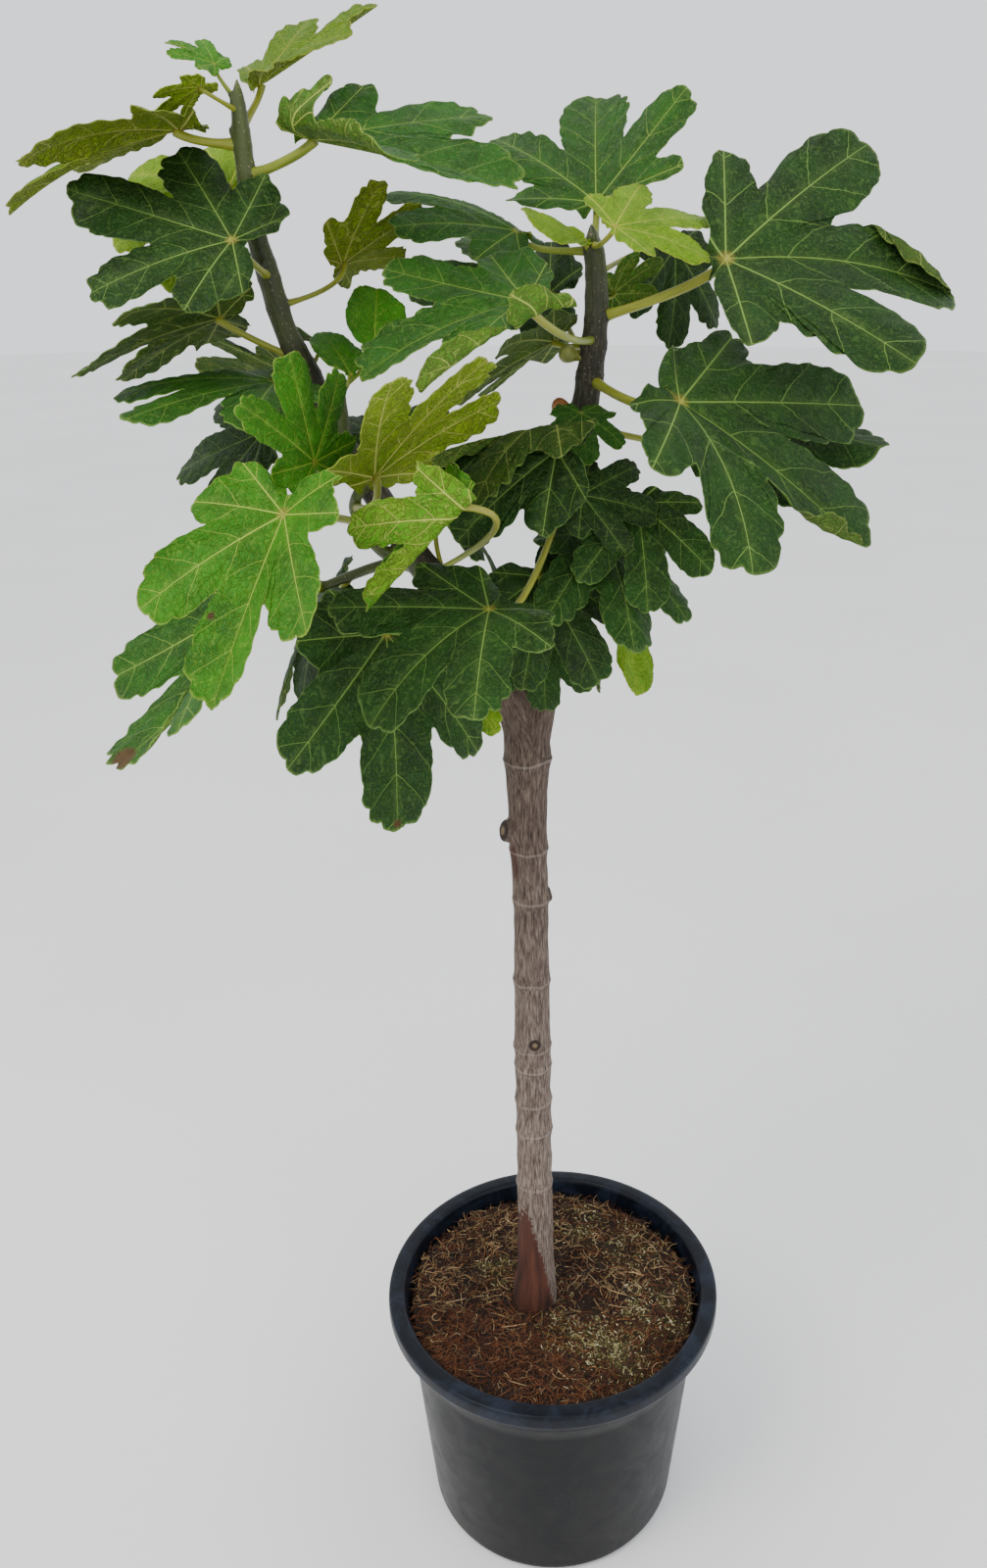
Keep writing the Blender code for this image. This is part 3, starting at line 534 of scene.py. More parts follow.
def on_shoot(shoot, along):
    """Centre, radius and direction of a shoot at a share of its length, 0 at its foot."""
    route = SHOOTS[shoot]
    centres = [Vector(p[:3]) for p in route]
    steps = [(b - a).length for a, b in zip(centres, centres[1:])]
    left = along * sum(steps)
    for k, step in enumerate(steps):
        if left <= step or k == len(steps) - 1:
            share = min(left / step, 1.0)
            radius = route[k][3] + (route[k + 1][3] - route[k][3]) * share
            onward = (centres[k + 1] - centres[k]) / step
            return centres[k].lerp(centres[k + 1], share), radius, onward
        left -= step


ASKEW = (0.3, 1.0, 0.1)  # no shoot runs along this direction
wood_points, wood_faces = [], []
# Samples of the centre lines: places, and (direction, radius, how far along, shoot).
line_places, line_data = [], []


def unit(rows):
    """Vectors scaled to a length of one."""
    return rows / np.linalg.norm(rows, axis=-1, keepdims=True)


def distances(centres):
    """How far along a line each of its points lies."""
    return np.r_[0, np.cumsum(np.linalg.norm(np.diff(centres, axis=0), axis=1))]


def add_tube(path, sides=WOOD_SIDES, keep_line=None):
    """A closed tube through rows of (x, y, z, radius), added to the wood."""
    start = len(wood_points)
    centres = path[:, :3]
    along = distances(centres)
    tangents = unit(np.gradient(centres, axis=0))
    side = unit(np.cross(tangents, ASKEW))
    other = np.cross(tangents, side)
    for k, centre in enumerate(centres):
        for i in range(sides):
            a = 2 * math.pi * i / sides
            wood_points.append(centre + (side[k] * math.cos(a) + other[k] * math.sin(a)) * path[k, 3])
        if keep_line is not None:
            line_places.append(centre)
            line_data.append((*tangents[k], path[k, 3], along[k], keep_line))
    wood_faces.extend(bands(start, len(path), sides))
    wood_faces.append(range(start, start + sides)[::-1])
    wood_faces.append(range(len(wood_points) - sides, len(wood_points)))


def bark():
    """Living bark: grey-brown and fissured when old, dark then green when young."""
    made, add = new_material("fig_bark_living")
    place = add("Attribute", attribute_name="bark_place").outputs["Vector"]
    age, scar, cut, bare = (
        add("Attribute", attribute_name=name).outputs["Fac"]
        for name in ("youth", "scar", "cut", "bare")
    )
    # Fissures 1.5 mm apart round the stem and some 15 mm long.
    drawn = add("VectorMath MULTIPLY", place, (1.0, 1.0, 0.11))
    fissures = add("TexNoise", Vector=drawn, Scale=760.0, Detail=6.0, Roughness=0.66, Distortion=0.3)
    broad = add("TexNoise", Vector=drawn, Scale=110.0, Detail=3.0)
    flecks = add("TexNoise", Vector=place, Scale=700.0, Detail=2.0)
    patches = add("TexNoise", Vector=place, Scale=22.0, Detail=4.0)
    old = add("ValToRGB", fissures,
              stops=[(0.28, "#241c16"), (0.42, "#5e5149"), (0.54, "#867a71"), (0.74, "#bab0a5")])
    warm = add("ValToRGB", patches, stops=[(0.38, "#6b5547"), (0.66, "#8f867e")])
    old = add("MixRGB OVERLAY", 0.45, old, warm)
    red = add("ValToRGB", broad, stops=[(0.35, "#2a160f"), (0.70, "#613626")])
    up_stem = add("TexCoord").outputs["Object"]
    up_stem = add("SeparateXYZ", up_stem).outputs["Z"]
    # The old bark is darker up the stem, from 0.38 m to 0.72 m, towards the crown.
    darker_up_stem = add("MapRange", up_stem, 0.38, 0.72)
    darker_up_stem = add("MixRGB", darker_up_stem, colour("#faf8f5"), colour("#c2b8b0"))
    old = add("MixRGB MULTIPLY", 1.0, old, darker_up_stem)
    old = add("MixRGB", bare, old, red)
    mid = add("ValToRGB", fissures, stops=[(0.30, "#15130d"), (0.52, "#2b281b"), (0.72, "#5a5240")])
    green = add("ValToRGB", broad, stops=[(0.30, "#242c10"), (0.70, "#4d5a20")])
    lower = add("MapRange", age, 0.12, 0.45)
    upper = add("MapRange", age, 0.62, 0.95)
    grown = add("MixRGB", lower, old, mid)
    grown = add("MixRGB", upper, grown, green)
    # Pale breathing pores on the younger bark, under 1 mm each.
    pores = add("TexVoronoi", Vector=place, Scale=330.0)
    pores = add("ValToRGB", pores, stops=[(0.12, 0.55), (0.20, 0.0)])
    pores = add("Math MULTIPLY", pores, lower)
    grown = add("MixRGB", pores, grown, colour("#8d8063"))
    edge = add("ValToRGB", scar, stops=[(0.35, 0.0), (0.95, 0.45)])
    broken = add("Math MULTIPLY", edge, patches)
    old_only = add("MapRange", age, 0.0, 0.6, 1.0, 0.1)
    broken = add("Math MULTIPLY", broken, old_only)
    ringed = add("MixRGB", broken, grown, colour("#b3a89a"))
    wound = add("ValToRGB", cut, stops=[(0.15, "#1c1310"), (0.55, "#2a1b13"), (0.75, "#c2ad83")])
    cut_in = add("MapRange", cut, 0.08, 0.3)
    final = add("MixRGB", cut_in, ringed, wound)
    rough = add("MapRange", age, 0.0, 1.0, 0.88, 0.45)
    depth = add("MapRange", age, 0.0, 1.0, 1.0, 0.25)
    height = add("Math MULTIPLY", fissures, depth)
    speck = add("Math MULTIPLY", flecks, 0.25)
    height = add("Math ADD", height, speck)
    relief = add("Bump", Height=height, Strength=0.9, Distance=0.0011)
    surface = add("BsdfPrincipled", Base_Color=final, Roughness=rough, Normal=relief, IOR=1.45)
    add("OutputMaterial", surface)
    return made


# Old leaf joints on the clear stem, as heights in metres.
STEM_RINGS = [0.350, 0.408, 0.439, 0.474, 0.493, 0.557, 0.632, 0.676, 0.752]
STEM_X = -0.0175
WOOD_THICKEST = 0.0225
JOINT_SWELL, JOINT_LENGTH = 0.07, 0.006
PAD_SHARE, PAD_LEAST = 0.019, 0.0011  # the pad under a stalk, by the size of its blade
RED_FOOT = 0.330  # the bark is bare and red-brown below this height
TORN_STRIP = 0.668  # a strip of bark is torn off here
PALE_CUT = Vector((0.0060, -0.0105, 0.905))  # the newest pruning cut shows pale wood
KNOB_RISE = 0.25
KNOBS = [  # height, heading in degrees, length, radius
    (0.690, 205, 0.0235, 0.0075),
    (0.632, 0, 0.0165, 0.0055),
    (0.498, -80, 0.0165, 0.0050),
]
# The stem runs on into the left shoot; the other shoots are tubes of their own.
routes = {**SHOOTS, "left": SHOOTS["stem"] + SHOOTS["left"]}
del routes["stem"]
stem_length = distances(np.array(SHOOTS["stem"] + SHOOTS["left"][:1])[:, :3])[-1]
joints = {shoot: [] for shoot in routes}
for name, along, *_ in LEAVES:
    shoot = name.split("_")[0]
    before = stem_length if shoot == "left" else 0.0
    joints[shoot].append(before + along * distances(np.array(SHOOTS[shoot])[:, :3])[-1])
joints["left"] += [height - SHOOTS["stem"][0][2] for height in STEM_RINGS]
for number, (shoot, route) in enumerate(routes.items()):
    path = flowing(route, SHOOT_STEP)
    along = distances(path[:, :3])
    for joint in joints[shoot]:
        path[:, 3] *= 1 + JOINT_SWELL * np.exp(-(((along - joint) / JOINT_LENGTH) ** 2))
    path[:, 3] = np.minimum(path[:, 3], WOOD_THICKEST)
    onward = unit(path[-1, :3] - path[-2, :3])
    for share in (0.95, 0.72, 0.42, 0.12):  # the bud that ends the shoot
        end = path[-1, :3] + onward * 0.0035
        path = np.vstack([path, [*end, route[-1][3] * share]])
    add_tube(path, keep_line=number)
for name, along, (heading, rise, _), _, size, *_ in LEAVES:
    centre, radius, grows = on_shoot(name.split("_")[0], along)
    way = direction(heading, rise)
    thick = max(PAD_SHARE * size, PAD_LEAST)
    pad = [(0.3, 1.8), (1.0, 1.7), (1.35, 1.35)]
    add_tube(np.array([[*(centre + way * radius * s), thick * w] for s, w in pad]), 12)
    # A bud sits in the angle above each stalk.
    square = (way - grows * way.dot(grows)).normalized()
    root = centre + square * radius * 0.8 + grows * thick * 2.2
    point = (square * 0.6 + grows).normalized()
    bud = [(-0.001, 0.0019), (0.0018, 0.0021), (0.0040, 0.0014), (0.0058, 0.0004)]
    add_tube(np.array([[*(root + point * run), wide] for run, wide in bud]), 10)
knob_tips = []
for height, heading, length, radius in KNOBS:
    turn = math.radians(heading)
    out = np.array((math.cos(turn), math.sin(turn), KNOB_RISE))
    foot = np.array((STEM_X, 0, height))
    knob_tips.append((Vector(foot + out * length), radius))
    out = unit(out)
    shares = [(0.15, 1.9), (0.55, 1.5), (0.8, 1.2), (0.96, 1.15), (1.0, 0.8)]
    add_tube(np.array([[*(foot + out * length * s), radius * w] for s, w in shares]), 20)
raw = mesh_object("wood_and_bark", wood_points, wood_faces, [bark()])
bpy.context.view_layer.objects.active = raw
for kind, settings in (("REMESH", {"mode": "VOXEL", "voxel_size": VOXEL}),
                       ("SMOOTH", {"factor": 0.5, "iterations": 5})):
    step = raw.modifiers.new(kind, kind)
    for setting, value in settings.items():
        setattr(step, setting, value)
    bpy.ops.object.modifier_apply(modifier=step.name)
tree_of_lines = kdtree.KDTree(len(line_places))
for i, place in enumerate(line_places):
    tree_of_lines.insert(Vector(place), i)
tree_of_lines.balance()
count = len(raw.data.vertices)
bark_place = np.zeros((count, 3))
youth, scars, cuts, bares = (np.zeros(count) for _ in range(4))
lines = np.array(line_data)
for v, point in enumerate(raw.data.vertices):
    found, index, _ = tree_of_lines.find(point.co)
    tangent, (radius, along, number) = Vector(lines[index, :3]), lines[index, 3:]
    offset = point.co - found
    along += offset.dot(tangent)
    away = (offset - tangent * offset.dot(tangent)).normalized()
    side = tangent.cross(Vector(ASKEW)).normalized()
    other = tangent.cross(side)
    bark_place[v] = (away.dot(side) * radius, away.dot(other) * radius, along + number * 2)
    youth[v] = clamped((0.0135 - radius) / 0.0075)
    wobble = 0.0016 * noise.noise(away * 1.7 + Vector((0, 0, along * 9)))
    nearest = min((abs(along + wobble - joint) for joint in joints[list(routes)[int(number)]]), default=1)
    scars[v] = math.exp(-((nearest / 0.0013) ** 2)) * (1 - 0.75 * youth[v])
    low_side = -away.x * 0.8 - away.y * 0.6
    ragged = 0.012 * noise.fractal(Vector(bark_place[v]) * 260, 0.7, 2.1, 3)
    edge = RED_FOOT + 0.035 * noise.noise(away * 1.1) - 0.075 * (1 - low_side) + ragged
    bares[v] = clamped((edge - point.co.z) / 0.003) if number == 0 else 0.0
    streak = math.hypot((point.co.z - TORN_STRIP) / 0.018, math.hypot(away.x + 0.8, away.y + 0.6) / 0.35)
    bares[v] = max(bares[v], min(max((1 - streak) * 3, 0), 0.9) if number == 0 else 0)
    for tip, knob in knob_tips:
        near = (point.co - tip).length / knob
        cuts[v] = max(cuts[v], 0.6 * math.exp(-(near**4)))
    pale = (point.co - PALE_CUT).length / 0.0075
    cuts[v] = max(cuts[v], math.exp(-(pale**4)))
    drawn = Vector(bark_place[v]) * 420
    drawn.z *= 0.10
    ridge = noise.fractal(drawn, 0.7, 2.1, 3) * 0.00030 * (1 - 0.8 * youth[v])
    lump = noise.noise(Vector(bark_place[v]) * 55) * 0.0007 * (1 - 0.5 * youth[v])
    point.co += away * (ridge + lump + scars[v] * 0.0005)
for name, values in (("youth", youth), ("scar", scars), ("cut", cuts), ("bare", bares)):
    keep(raw.data, name, values)
keep(raw.data, "bark_place", bark_place, "FLOAT_VECTOR")
raw.data.polygons.foreach_set("use_smooth", np.full(len(raw.data.polygons), True))
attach(raw, "root")
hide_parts("wood")

# ---------------------------------------------------------------- leaves
# Each leaf is one grown piece: a stalk and a leathery blade with up to five lobes. The
# upper side is rough and softly glossy with pale sunken veins; the under side is paler
# and matt, and its veins stand out. Young leaves are thin and yellow-green.
# Half of a five-lobed blade: (angle from the midrib, reach, how much it deepens with
# the cut). Reach is a share of the junction-to-tip length.
LOBED_HALF = [
    (5, 0.985, 0), (10, 0.93, 0), (14, 0.84, 0.05), (17, 0.70, 0.35), (19.5, 0.53, 0.9),
    (21, 0.49, 1), (22.5, 0.52, 0.9), (25, 0.64, 0.35), (29, 0.76, 0.05), (34, 0.85, 0),
    (39, 0.885, 0), (44, 0.87, 0), (50, 0.80, 0), (55, 0.69, 0.15), (59, 0.52, 0.5),
    (62, 0.42, 0.7), (64, 0.405, 0.7), (67, 0.42, 0.4), (73, 0.475, 0), (80, 0.515, 0),
    (88, 0.51, 0), (96, 0.465, 0), (104, 0.42, 0), (112, 0.40, 0), (122, 0.375, 0),
    (132, 0.32, 0), (145, 0.235, 0), (158, 0.145, 0),
]
# Blades that are cut off straight, or nearly, behind the stalk.
BASES = {
    "right_leaf_06": 0.30, "right_leaf_01": 0.45, "right_leaf_03": 0.40, "right_leaf_13": 0.60,
    "right_leaf_10": 0.75, "side_leaf_01": 0.45, "left_leaf_15": 0.50, "left_leaf_01": 0.30,
    "left_leaf_04": 0.60, "left_leaf_05": 0.50, "left_leaf_12": 0.50, "left_leaf_08": 0.60,
}


def full_turn(half, ends):
    """Both halves of a mirrored list, in order of angle from -180 to 180."""
    return [(-h[0], *h[1:]) for h in reversed(half)] + [ends[0]] + list(half) + [ends[1]]


def lobed_outline(cut, base):
    """(angle, reach) round a lobed blade; cut 0 is deeply lobed, 1 is nearly whole.

    base is the size of the lobes behind the stalk: 1 is heart-shaped, 0 is straight.
    """
    points = full_turn(LOBED_HALF, [(0, 1.0, 0.0), (180, 0.07, 0.0)])
    found = []
    for a, reach, deepens in points:
        behind = clamped((abs(a) - 88) / 30)
        reach = max(0.07, reach * (1 - (1 - base) * behind))
        found.append((a, reach + (0.12 * cut - 0.05) * deepens))
    return found


def oval_outline():
    """(angle, reach) round a young whole blade: an ellipse with its foot at the stalk."""
    found = []
    for a, _, _ in full_turn(LOBED_HALF, [(0, 1.0, 0.0), (180, 0.07, 0.0)]):
        c, s = math.cos(math.radians(a)), math.sin(math.radians(a))
        reach = 0.36**2 * c / (0.36**2 * c * c + 0.25 * s * s) if c > 0 else 0.0
        found.append((a, max(reach, 0.08)))
    return found


def blade_axes(heading, pitch, roll):
    """Midrib, left and upper directions of a blade, from its angles in degrees."""
    h, p, r = (math.radians(v) for v in (heading, pitch, roll))
    midrib = direction(heading, pitch)
    level = Vector((-math.sin(p) * math.cos(h), -math.sin(p) * math.sin(h), math.cos(p)))
    side = level.cross(midrib)
    left = side * math.cos(r) + level * math.sin(r)
    return midrib, left, midrib.cross(left)


VEIN_ANGLES = [0, 41, 85, 125]  # main veins on each half of a lobed blade
VEIN_BORDERS = [21, 63, 105, 180]  # where the ground of one main vein meets the next
TONES = {  # upper ground, upper ground in its darkest parts, veins, under side, under veins, stalk
    "dark": ("#1c4710", "#0c2606", "#7d9f4a", "#4a6a1c", "#9dad55", "#8f9430"),
    "mid": ("#2a6612", "#143f08", "#8aad4a", "#5a7f1e", "#a9bb55", "#7d8a2a"),
    "bright": ("#3f9008", "#226006", "#a9c94c", "#76a01c", "#c4d25c", "#7f8c26"),
    "lime": ("#7aa406", "#4c7d05", "#c9d44e", "#98ad1e", "#d8dc6a", "#858a26"),
}


def blade(tone, upper):
    """Leaf surface: veins drawn from the blade's own vein map over mottled green, with painted shade and
    light per leaf.
    """
    ground, deep, vein, under, under_vein, _ = TONES[tone]
    if not upper:
        ground, deep, vein = under, ground, under_vein
    made, add = new_material(f"fig_leaf_{tone}_{'upper' if upper else 'under'}_side")
    veins = add("UVMap", uv_map="veins").outputs["UV"]
    flat = add("UVMap", uv_map="flat").outputs["UV"]
    own, shade, burn, rim = (
        add("Attribute", attribute_name=name).outputs["Fac"]
        for name in ("leaf_tint", "leaf_shade", "burn", "rim")
    )
    sway = add("TexNoise", Vector=flat, Scale=55.0, Detail=3.0)
    sway = add("VectorMath SUBTRACT", sway.outputs["Color"], (0.5, 0.5, 0.5))
    sway = add("VectorMath MULTIPLY", sway, (0.05, 0.022, 0.0))
    swayed = add("VectorMath ADD", veins, sway)
    parts = add("SeparateXYZ", swayed)
    along = parts.outputs["X"]
    across = add("Math ABSOLUTE", parts.outputs["Y"])
    plain = add("SeparateXYZ", veins)
    straight = add("Math ABSOLUTE", plain.outputs["Y"])
    # Main veins: 2 to 3 mm wide at the stalk, a hair at the lobe's tip.
    width = add("MapRange", plain.outputs["X"], 0.0, 0.95, 0.0110 if upper else 0.017, 0.0026)
    main = add("Math DIVIDE", straight, width)
    main = add("ValToRGB", main, stops=[(0.35, 1.0), (0.62, 0.0)])
    # Side veins: a pair every 12% of the blade, leaving at 50 degrees and curving on.
    lean = add("Math MULTIPLY", across, 0.72)
    curve = add("Math POWER", across, 1.5)
    lean = add("Math ADD", lean, curve)
    rows = add("Math SUBTRACT", along, lean)
    rows = add("Math MULTIPLY", rows, 8.2)
    rows = add("Math PINGPONG", rows, 1.0)
    side_width = add("MapRange", across, 0.0, 0.3, 0.044 if upper else 0.066, 0.022)
    side = add("Math DIVIDE", rows, side_width)
    side = add("ValToRGB", side, stops=[(0.40, 0.62 if upper else 0.85), (0.95, 0.0)])
    # The finest net has meshes of about 3 mm.
    net_at = add("VectorMath ADD", flat, sway)
    net = add("TexVoronoi", Vector=net_at, Scale=260.0, feature="DISTANCE_TO_EDGE")
    net = add("ValToRGB", net, stops=[(0.0, 0.50 if upper else 0.8), (0.12, 0.0)])
    mottle = add("TexNoise", Vector=flat, Scale=32.0, Detail=6.0, Roughness=0.6)
    tone_at = add("Math ADD", mottle, own)
    body = add("MapRange", tone_at, 0.30, 0.72)
    body = add("MixRGB", body, colour(deep), colour(ground))
    # Close to the veins the green is lighter, and fine pale flecks lie between them.
    flecks = add("TexNoise", Vector=flat, Scale=520.0, Detail=4.0, Roughness=0.7)
    flecks = add("ValToRGB", flecks, stops=[(0.50, 0.0), (0.80, 0.30)])
    glow = add("MapRange", across, 0.0, 0.035, 0.12, 0.0)
    fine = add("Math MULTIPLY", net, 0.34 if upper else 0.5)
    strong = add("Math MULTIPLY", main, 0.92)
    edge = add("ValToRGB", rim, stops=[(0.982, 0.0), (0.998, 0.6)])
    for layer in (flecks, glow, fine, side, strong, edge):
        body = add("MixRGB", layer, body, colour(vein))
    # The veins meet in an orange-yellow spot over the stalk.
    middle = add("VectorMath LENGTH", veins).outputs["Value"]
    middle = add("MapRange", middle, 0.012, 0.045, 0.65, 0.0)
    body = add("MixRGB", middle, body, colour("#b3a045"))
    burnt = add("Math MULTIPLY", burn, mottle)
    burnt = add("MapRange", burnt, 0.22, 0.34)
    body = add("MixRGB", burnt, body, colour("#574426"))
    # Painted light and shade: the whole leaf colour is multiplied by the leaf's brightness factor.
    body = add("MixRGB MULTIPLY", 1.0, body, shade)
    ribs = add("Math MAXIMUM", main, side)
    ribs = add("Math MAXIMUM", ribs, net)
    hairs = add("TexNoise", Vector=flat, Scale=1300.0, Detail=3.0)
    hairs = add("Math MULTIPLY", hairs, 0.3)
    sunk = add("Math MULTIPLY_ADD", ribs, -0.8 if upper else 1.3, hairs)
    relief = add("Bump", Height=sunk, Strength=1.0, Distance=0.0013)
    gloss = add("MapRange", mottle, 0.3, 0.7, 0.42 if upper else 0.66, 0.62 if upper else 0.84)
    skin = add("BsdfPrincipled", Base_Color=body, Roughness=gloss, IOR=1.42, Normal=relief,
               Specular_IOR_Level=0.3)
    through = add("BsdfTranslucent", Color=body, Normal=relief)
    both = add("MixShader", 0.22, skin, through)
    add("OutputMaterial", both)
    return made


def stalk_skin(tone):
    """Leaf stalk: smooth green skin, yellower towards the blade."""
    made, add = new_material(f"fig_leaf_{tone}_stalk")
    flat = add("UVMap", uv_map="flat").outputs["UV"]
    along = add("SeparateXYZ", flat).outputs["X"]
    drawn = add("VectorMath MULTIPLY", flat, (0.06, 1.0, 0.0))
    grain = add("TexNoise", Vector=drawn, Scale=900.0, Detail=4.0)
    base = TONES[tone][5]
    skin = add("ValToRGB", along, stops=[(0.0, base), (0.03, base), (0.12, "#8f8f35")])
    shade = add("ValToRGB", grain, stops=[(0.3, 0.72), (0.7, 1.15)])
    toned = add("MixRGB MULTIPLY", 1.0, skin, shade)
    relief = add("Bump", Height=grain, Strength=0.4, Distance=0.0004)
    surface = add("BsdfPrincipled", Base_Color=toned, Roughness=0.42, Normal=relief, IOR=1.42)
    add("OutputMaterial", surface)
    return made


SKINS = {tone: [blade(tone, True), blade(tone, False), stalk_skin(tone)] for tone in TONES}


def smooth_outline(name, cut, size, seed):
    """Angles and reaches round a blade at even steps along its scalloped edge."""
    corners = oval_outline() if cut is None else lobed_outline(cut, BASES.get(name, 1))
    draws = np.random.default_rng(seed)
    angles = np.array([a for a, _ in corners], float)
    reaches = np.array([reach for _, reach in corners])
    lap = np.r_[angles - 360, angles, angles + 360]
    turns = np.linspace(-180, 180, 2881)
    reach = np.zeros_like(turns)
    for shift in (-1.6, -0.8, 0.0, 0.8, 1.6):  # rounds the corners between the set points
        reach += np.interp(turns + shift, lap, np.tile(reaches, 3)) / 5
    # No two lobes of a blade are alike: their lengths differ by a few per cent.
    uneven = np.radians(turns[:, None] * np.array([2, 3, 5, 7]) + draws.uniform(0, 360, 4))
    reach *= 1 + np.sin(uneven) @ np.array([0.020, 0.022, 0.018, 0.014])
    x, y = reach * np.cos(np.radians(turns)), reach * np.sin(np.radians(turns))
    run = np.r_[0, np.cumsum(np.hypot(np.diff(x), np.diff(y)))]
    columns = int(min(max(2500 * size, 140), 340))
    at = np.linspace(0, run[-1], columns, endpoint=False)
    x, y = np.interp(at, run, x), np.interp(at, run, y)
    out_x, out_y = np.gradient(y), -np.gradient(x)
    out = np.hypot(out_x, out_y)
    lobed = cut is not None
    scallops = max(9, int(run[-1] / (0.150 if lobed else 0.2)))
    phase = draws.uniform(0, 6.3, 4)
    share = at / run[-1]
    bent = share + 0.006 * np.sin(2 * np.pi * 7 * share + phase[0])
    bent += 0.004 * np.sin(2 * np.pi * 13 * share + phase[1])
    wave = np.abs(np.sin(np.pi * scallops * bent)) ** 0.75 - 0.6
    depth = (draws.uniform(0.028, 0.046) if lobed else 0.014)
    depth *= 0.8 + 0.5 * np.sin(2 * np.pi * 5 * share + phase[2])
    fine = np.abs(np.sin(np.pi * int(scallops * 2.7) * bent + phase[3])) - 0.6
    grow = depth * wave + 0.006 * fine
    grow *= np.minimum(reach.max(), np.hypot(x, y)) ** 0.5
    x, y = x + out_x / out * grow, y + out_y / out * grow
    angle = np.degrees(np.unwrap(np.arctan2(y, x)))
    angle = np.maximum.accumulate(angle) + np.arange(columns) * 1e-4
    angle += np.round((-180 - angle[0]) / 360) * 360
    return np.clip(angle, -179.99, 179.99), np.hypot(x, y)


def bent_points(junction, axes, length, bend, angle, reach):
    """Places at angles and reaches on the bent blade, and the upper direction at each."""
    fold, left_droop, droop, right_droop = bend
    midrib, left, upper = (np.array(v) for v in axes)
    turn = np.radians(angle)
    spring = fold * np.abs(np.sin(turn))
    side = np.minimum(np.abs(angle) / 60, 1.0)
    drooping = droop + (np.where(angle > 0, left_droop, right_droop) - droop) * side
    out, rise = np.zeros_like(reach), np.zeros_like(reach)
    steps = 8
    for k in range(steps):
        slope = np.radians(spring - drooping * reach * (k + 0.5) / steps)
        out += np.cos(slope) * length * reach / steps
        rise += np.sin(slope) * length * reach / steps
    slope = np.radians(spring - drooping * reach)[..., None]
    ray = np.cos(turn)[..., None] * midrib + np.sin(turn)[..., None] * left
    points = np.array(junction) + ray * out[..., None] + upper * rise[..., None]
    return points, upper * np.cos(slope) - ray * np.sin(slope)


# Painted light and shade: the whole colour of each listed leaf is multiplied by a factor,
# below 1 to paint the shade it lies in and above 1 to paint the light it gets. Then places
# where a blade has died back: (heading on the blade, reach, radius), all in blade lengths.
PAINTED_LIGHT_AND_SHADE = {
    "left_leaf_01": 0.72, "left_leaf_04": 0.58, "left_leaf_08": 0.62, "side_leaf_01": 0.85,
    "left_leaf_14": 0.85, "right_leaf_03": 1.0, "right_leaf_17": 1.15, "left_leaf_17": 1.15,
    "right_leaf_13": 1.2, "right_leaf_16": 1.1, "right_leaf_09": 1.1, "low_leaf_02": 1.25,
}
BURNS = {
    "low_leaf_02": (0, 0.98, 0.10), "side_leaf_02": (-14, 0.62, 0.035),
    "right_leaf_10": (-41, 0.90, 0.028), "left_leaf_17": (0, 0.99, 0.03),
}
# Blades that curl over on themselves: the curl's heading on the blade in degrees from the
# midrib, how far out it starts, its width across, how far it turns, and how far to either
# side of the midrib it is felt.
CURLS = {
    "right_leaf_06": (62, 0.43, 0.07, 150, 21),
    "left_leaf_15": (88, 0.05, 0.06, 108, 180),
    "right_leaf_07": (106, 0.25, 0.10, 145, 180),
    "right_leaf_15": (-80, 0.10, 0.12, 140, 180),
    "left_leaf_05": (-125, 0.14, 0.11, 130, 180),
    "right_leaf_10": (-60, 0.46, 0.08, 110, 21),
}


def curled(points, axes, size, angles, reach, curl):
    """Rolls the part of a blade that lies beyond the curl's line back over it."""
    midrib, left, upper = (np.array(v) for v in axes)
    heading, begins, width, turn, span = curl
    off = np.radians(angles - heading)
    beyond = np.maximum(reach * np.cos(off) - begins, 0.0) * (np.abs(angles) <= span)
    way = math.cos(math.radians(heading)) * midrib + math.sin(math.radians(heading)) * left
    rolled, risen = np.zeros_like(beyond), np.zeros_like(beyond)
    for k in range(12):
        slope = np.radians(turn) * np.minimum(beyond * (k + 0.5) / 12 / width, 1.0)
        rolled += np.cos(slope) * beyond / 12
        risen += np.sin(slope) * beyond / 12
    return points + size * (way * (rolled - beyond)[..., None] + upper * risen[..., None])


def blade_faces(here, onward, hub, lower=0):
    """Corner values of a blade's faces: middle, rings and edge, upper side then under side.

    here and onward hold a value for each point of each ring, and for the next point round.
    """
    middle = np.full(here.shape[1], hub)
    return [
        np.stack([middle, here[0], onward[0]], -1),
        np.stack([middle + bool(lower), onward[0] + lower, here[0] + lower], -1),
        np.stack([here[:-1], here[1:], onward[1:], onward[:-1]], -1).reshape(-1, 4),
        np.stack([here[:-1], onward[:-1], onward[1:], here[1:]], -1).reshape(-1, 4) + lower,
        np.stack([here[-1], here[-1] + lower, onward[-1] + lower, onward[-1]], -1),
    ]


def corner_pairs(blocks):
    """Complex corner values as a list of (u, v)."""
    joined = np.concatenate([block.ravel() for block in blocks])
    return np.c_[joined.real, joined.imag].tolist()


BLADE_HALF = 0.00028
VEIN_SINK, VEIN_WIDTH = 0.012, 0.024  # shares of the blade, as are the next two
VEIN_PUFF = 0.004
EDGE_WAVE = 0.021
STALK_LEAST, STALK_SHARE = 0.0006, 0.017  # the stalk's radius, by the size of its blade
HUB_DIP = 0.006  # how far the veins' meeting point sinks, as a share of the blade
STALK_GIRTH = 0.02
LEAF_APART = 0.31  # sets the pattern of each leaf on its own patch


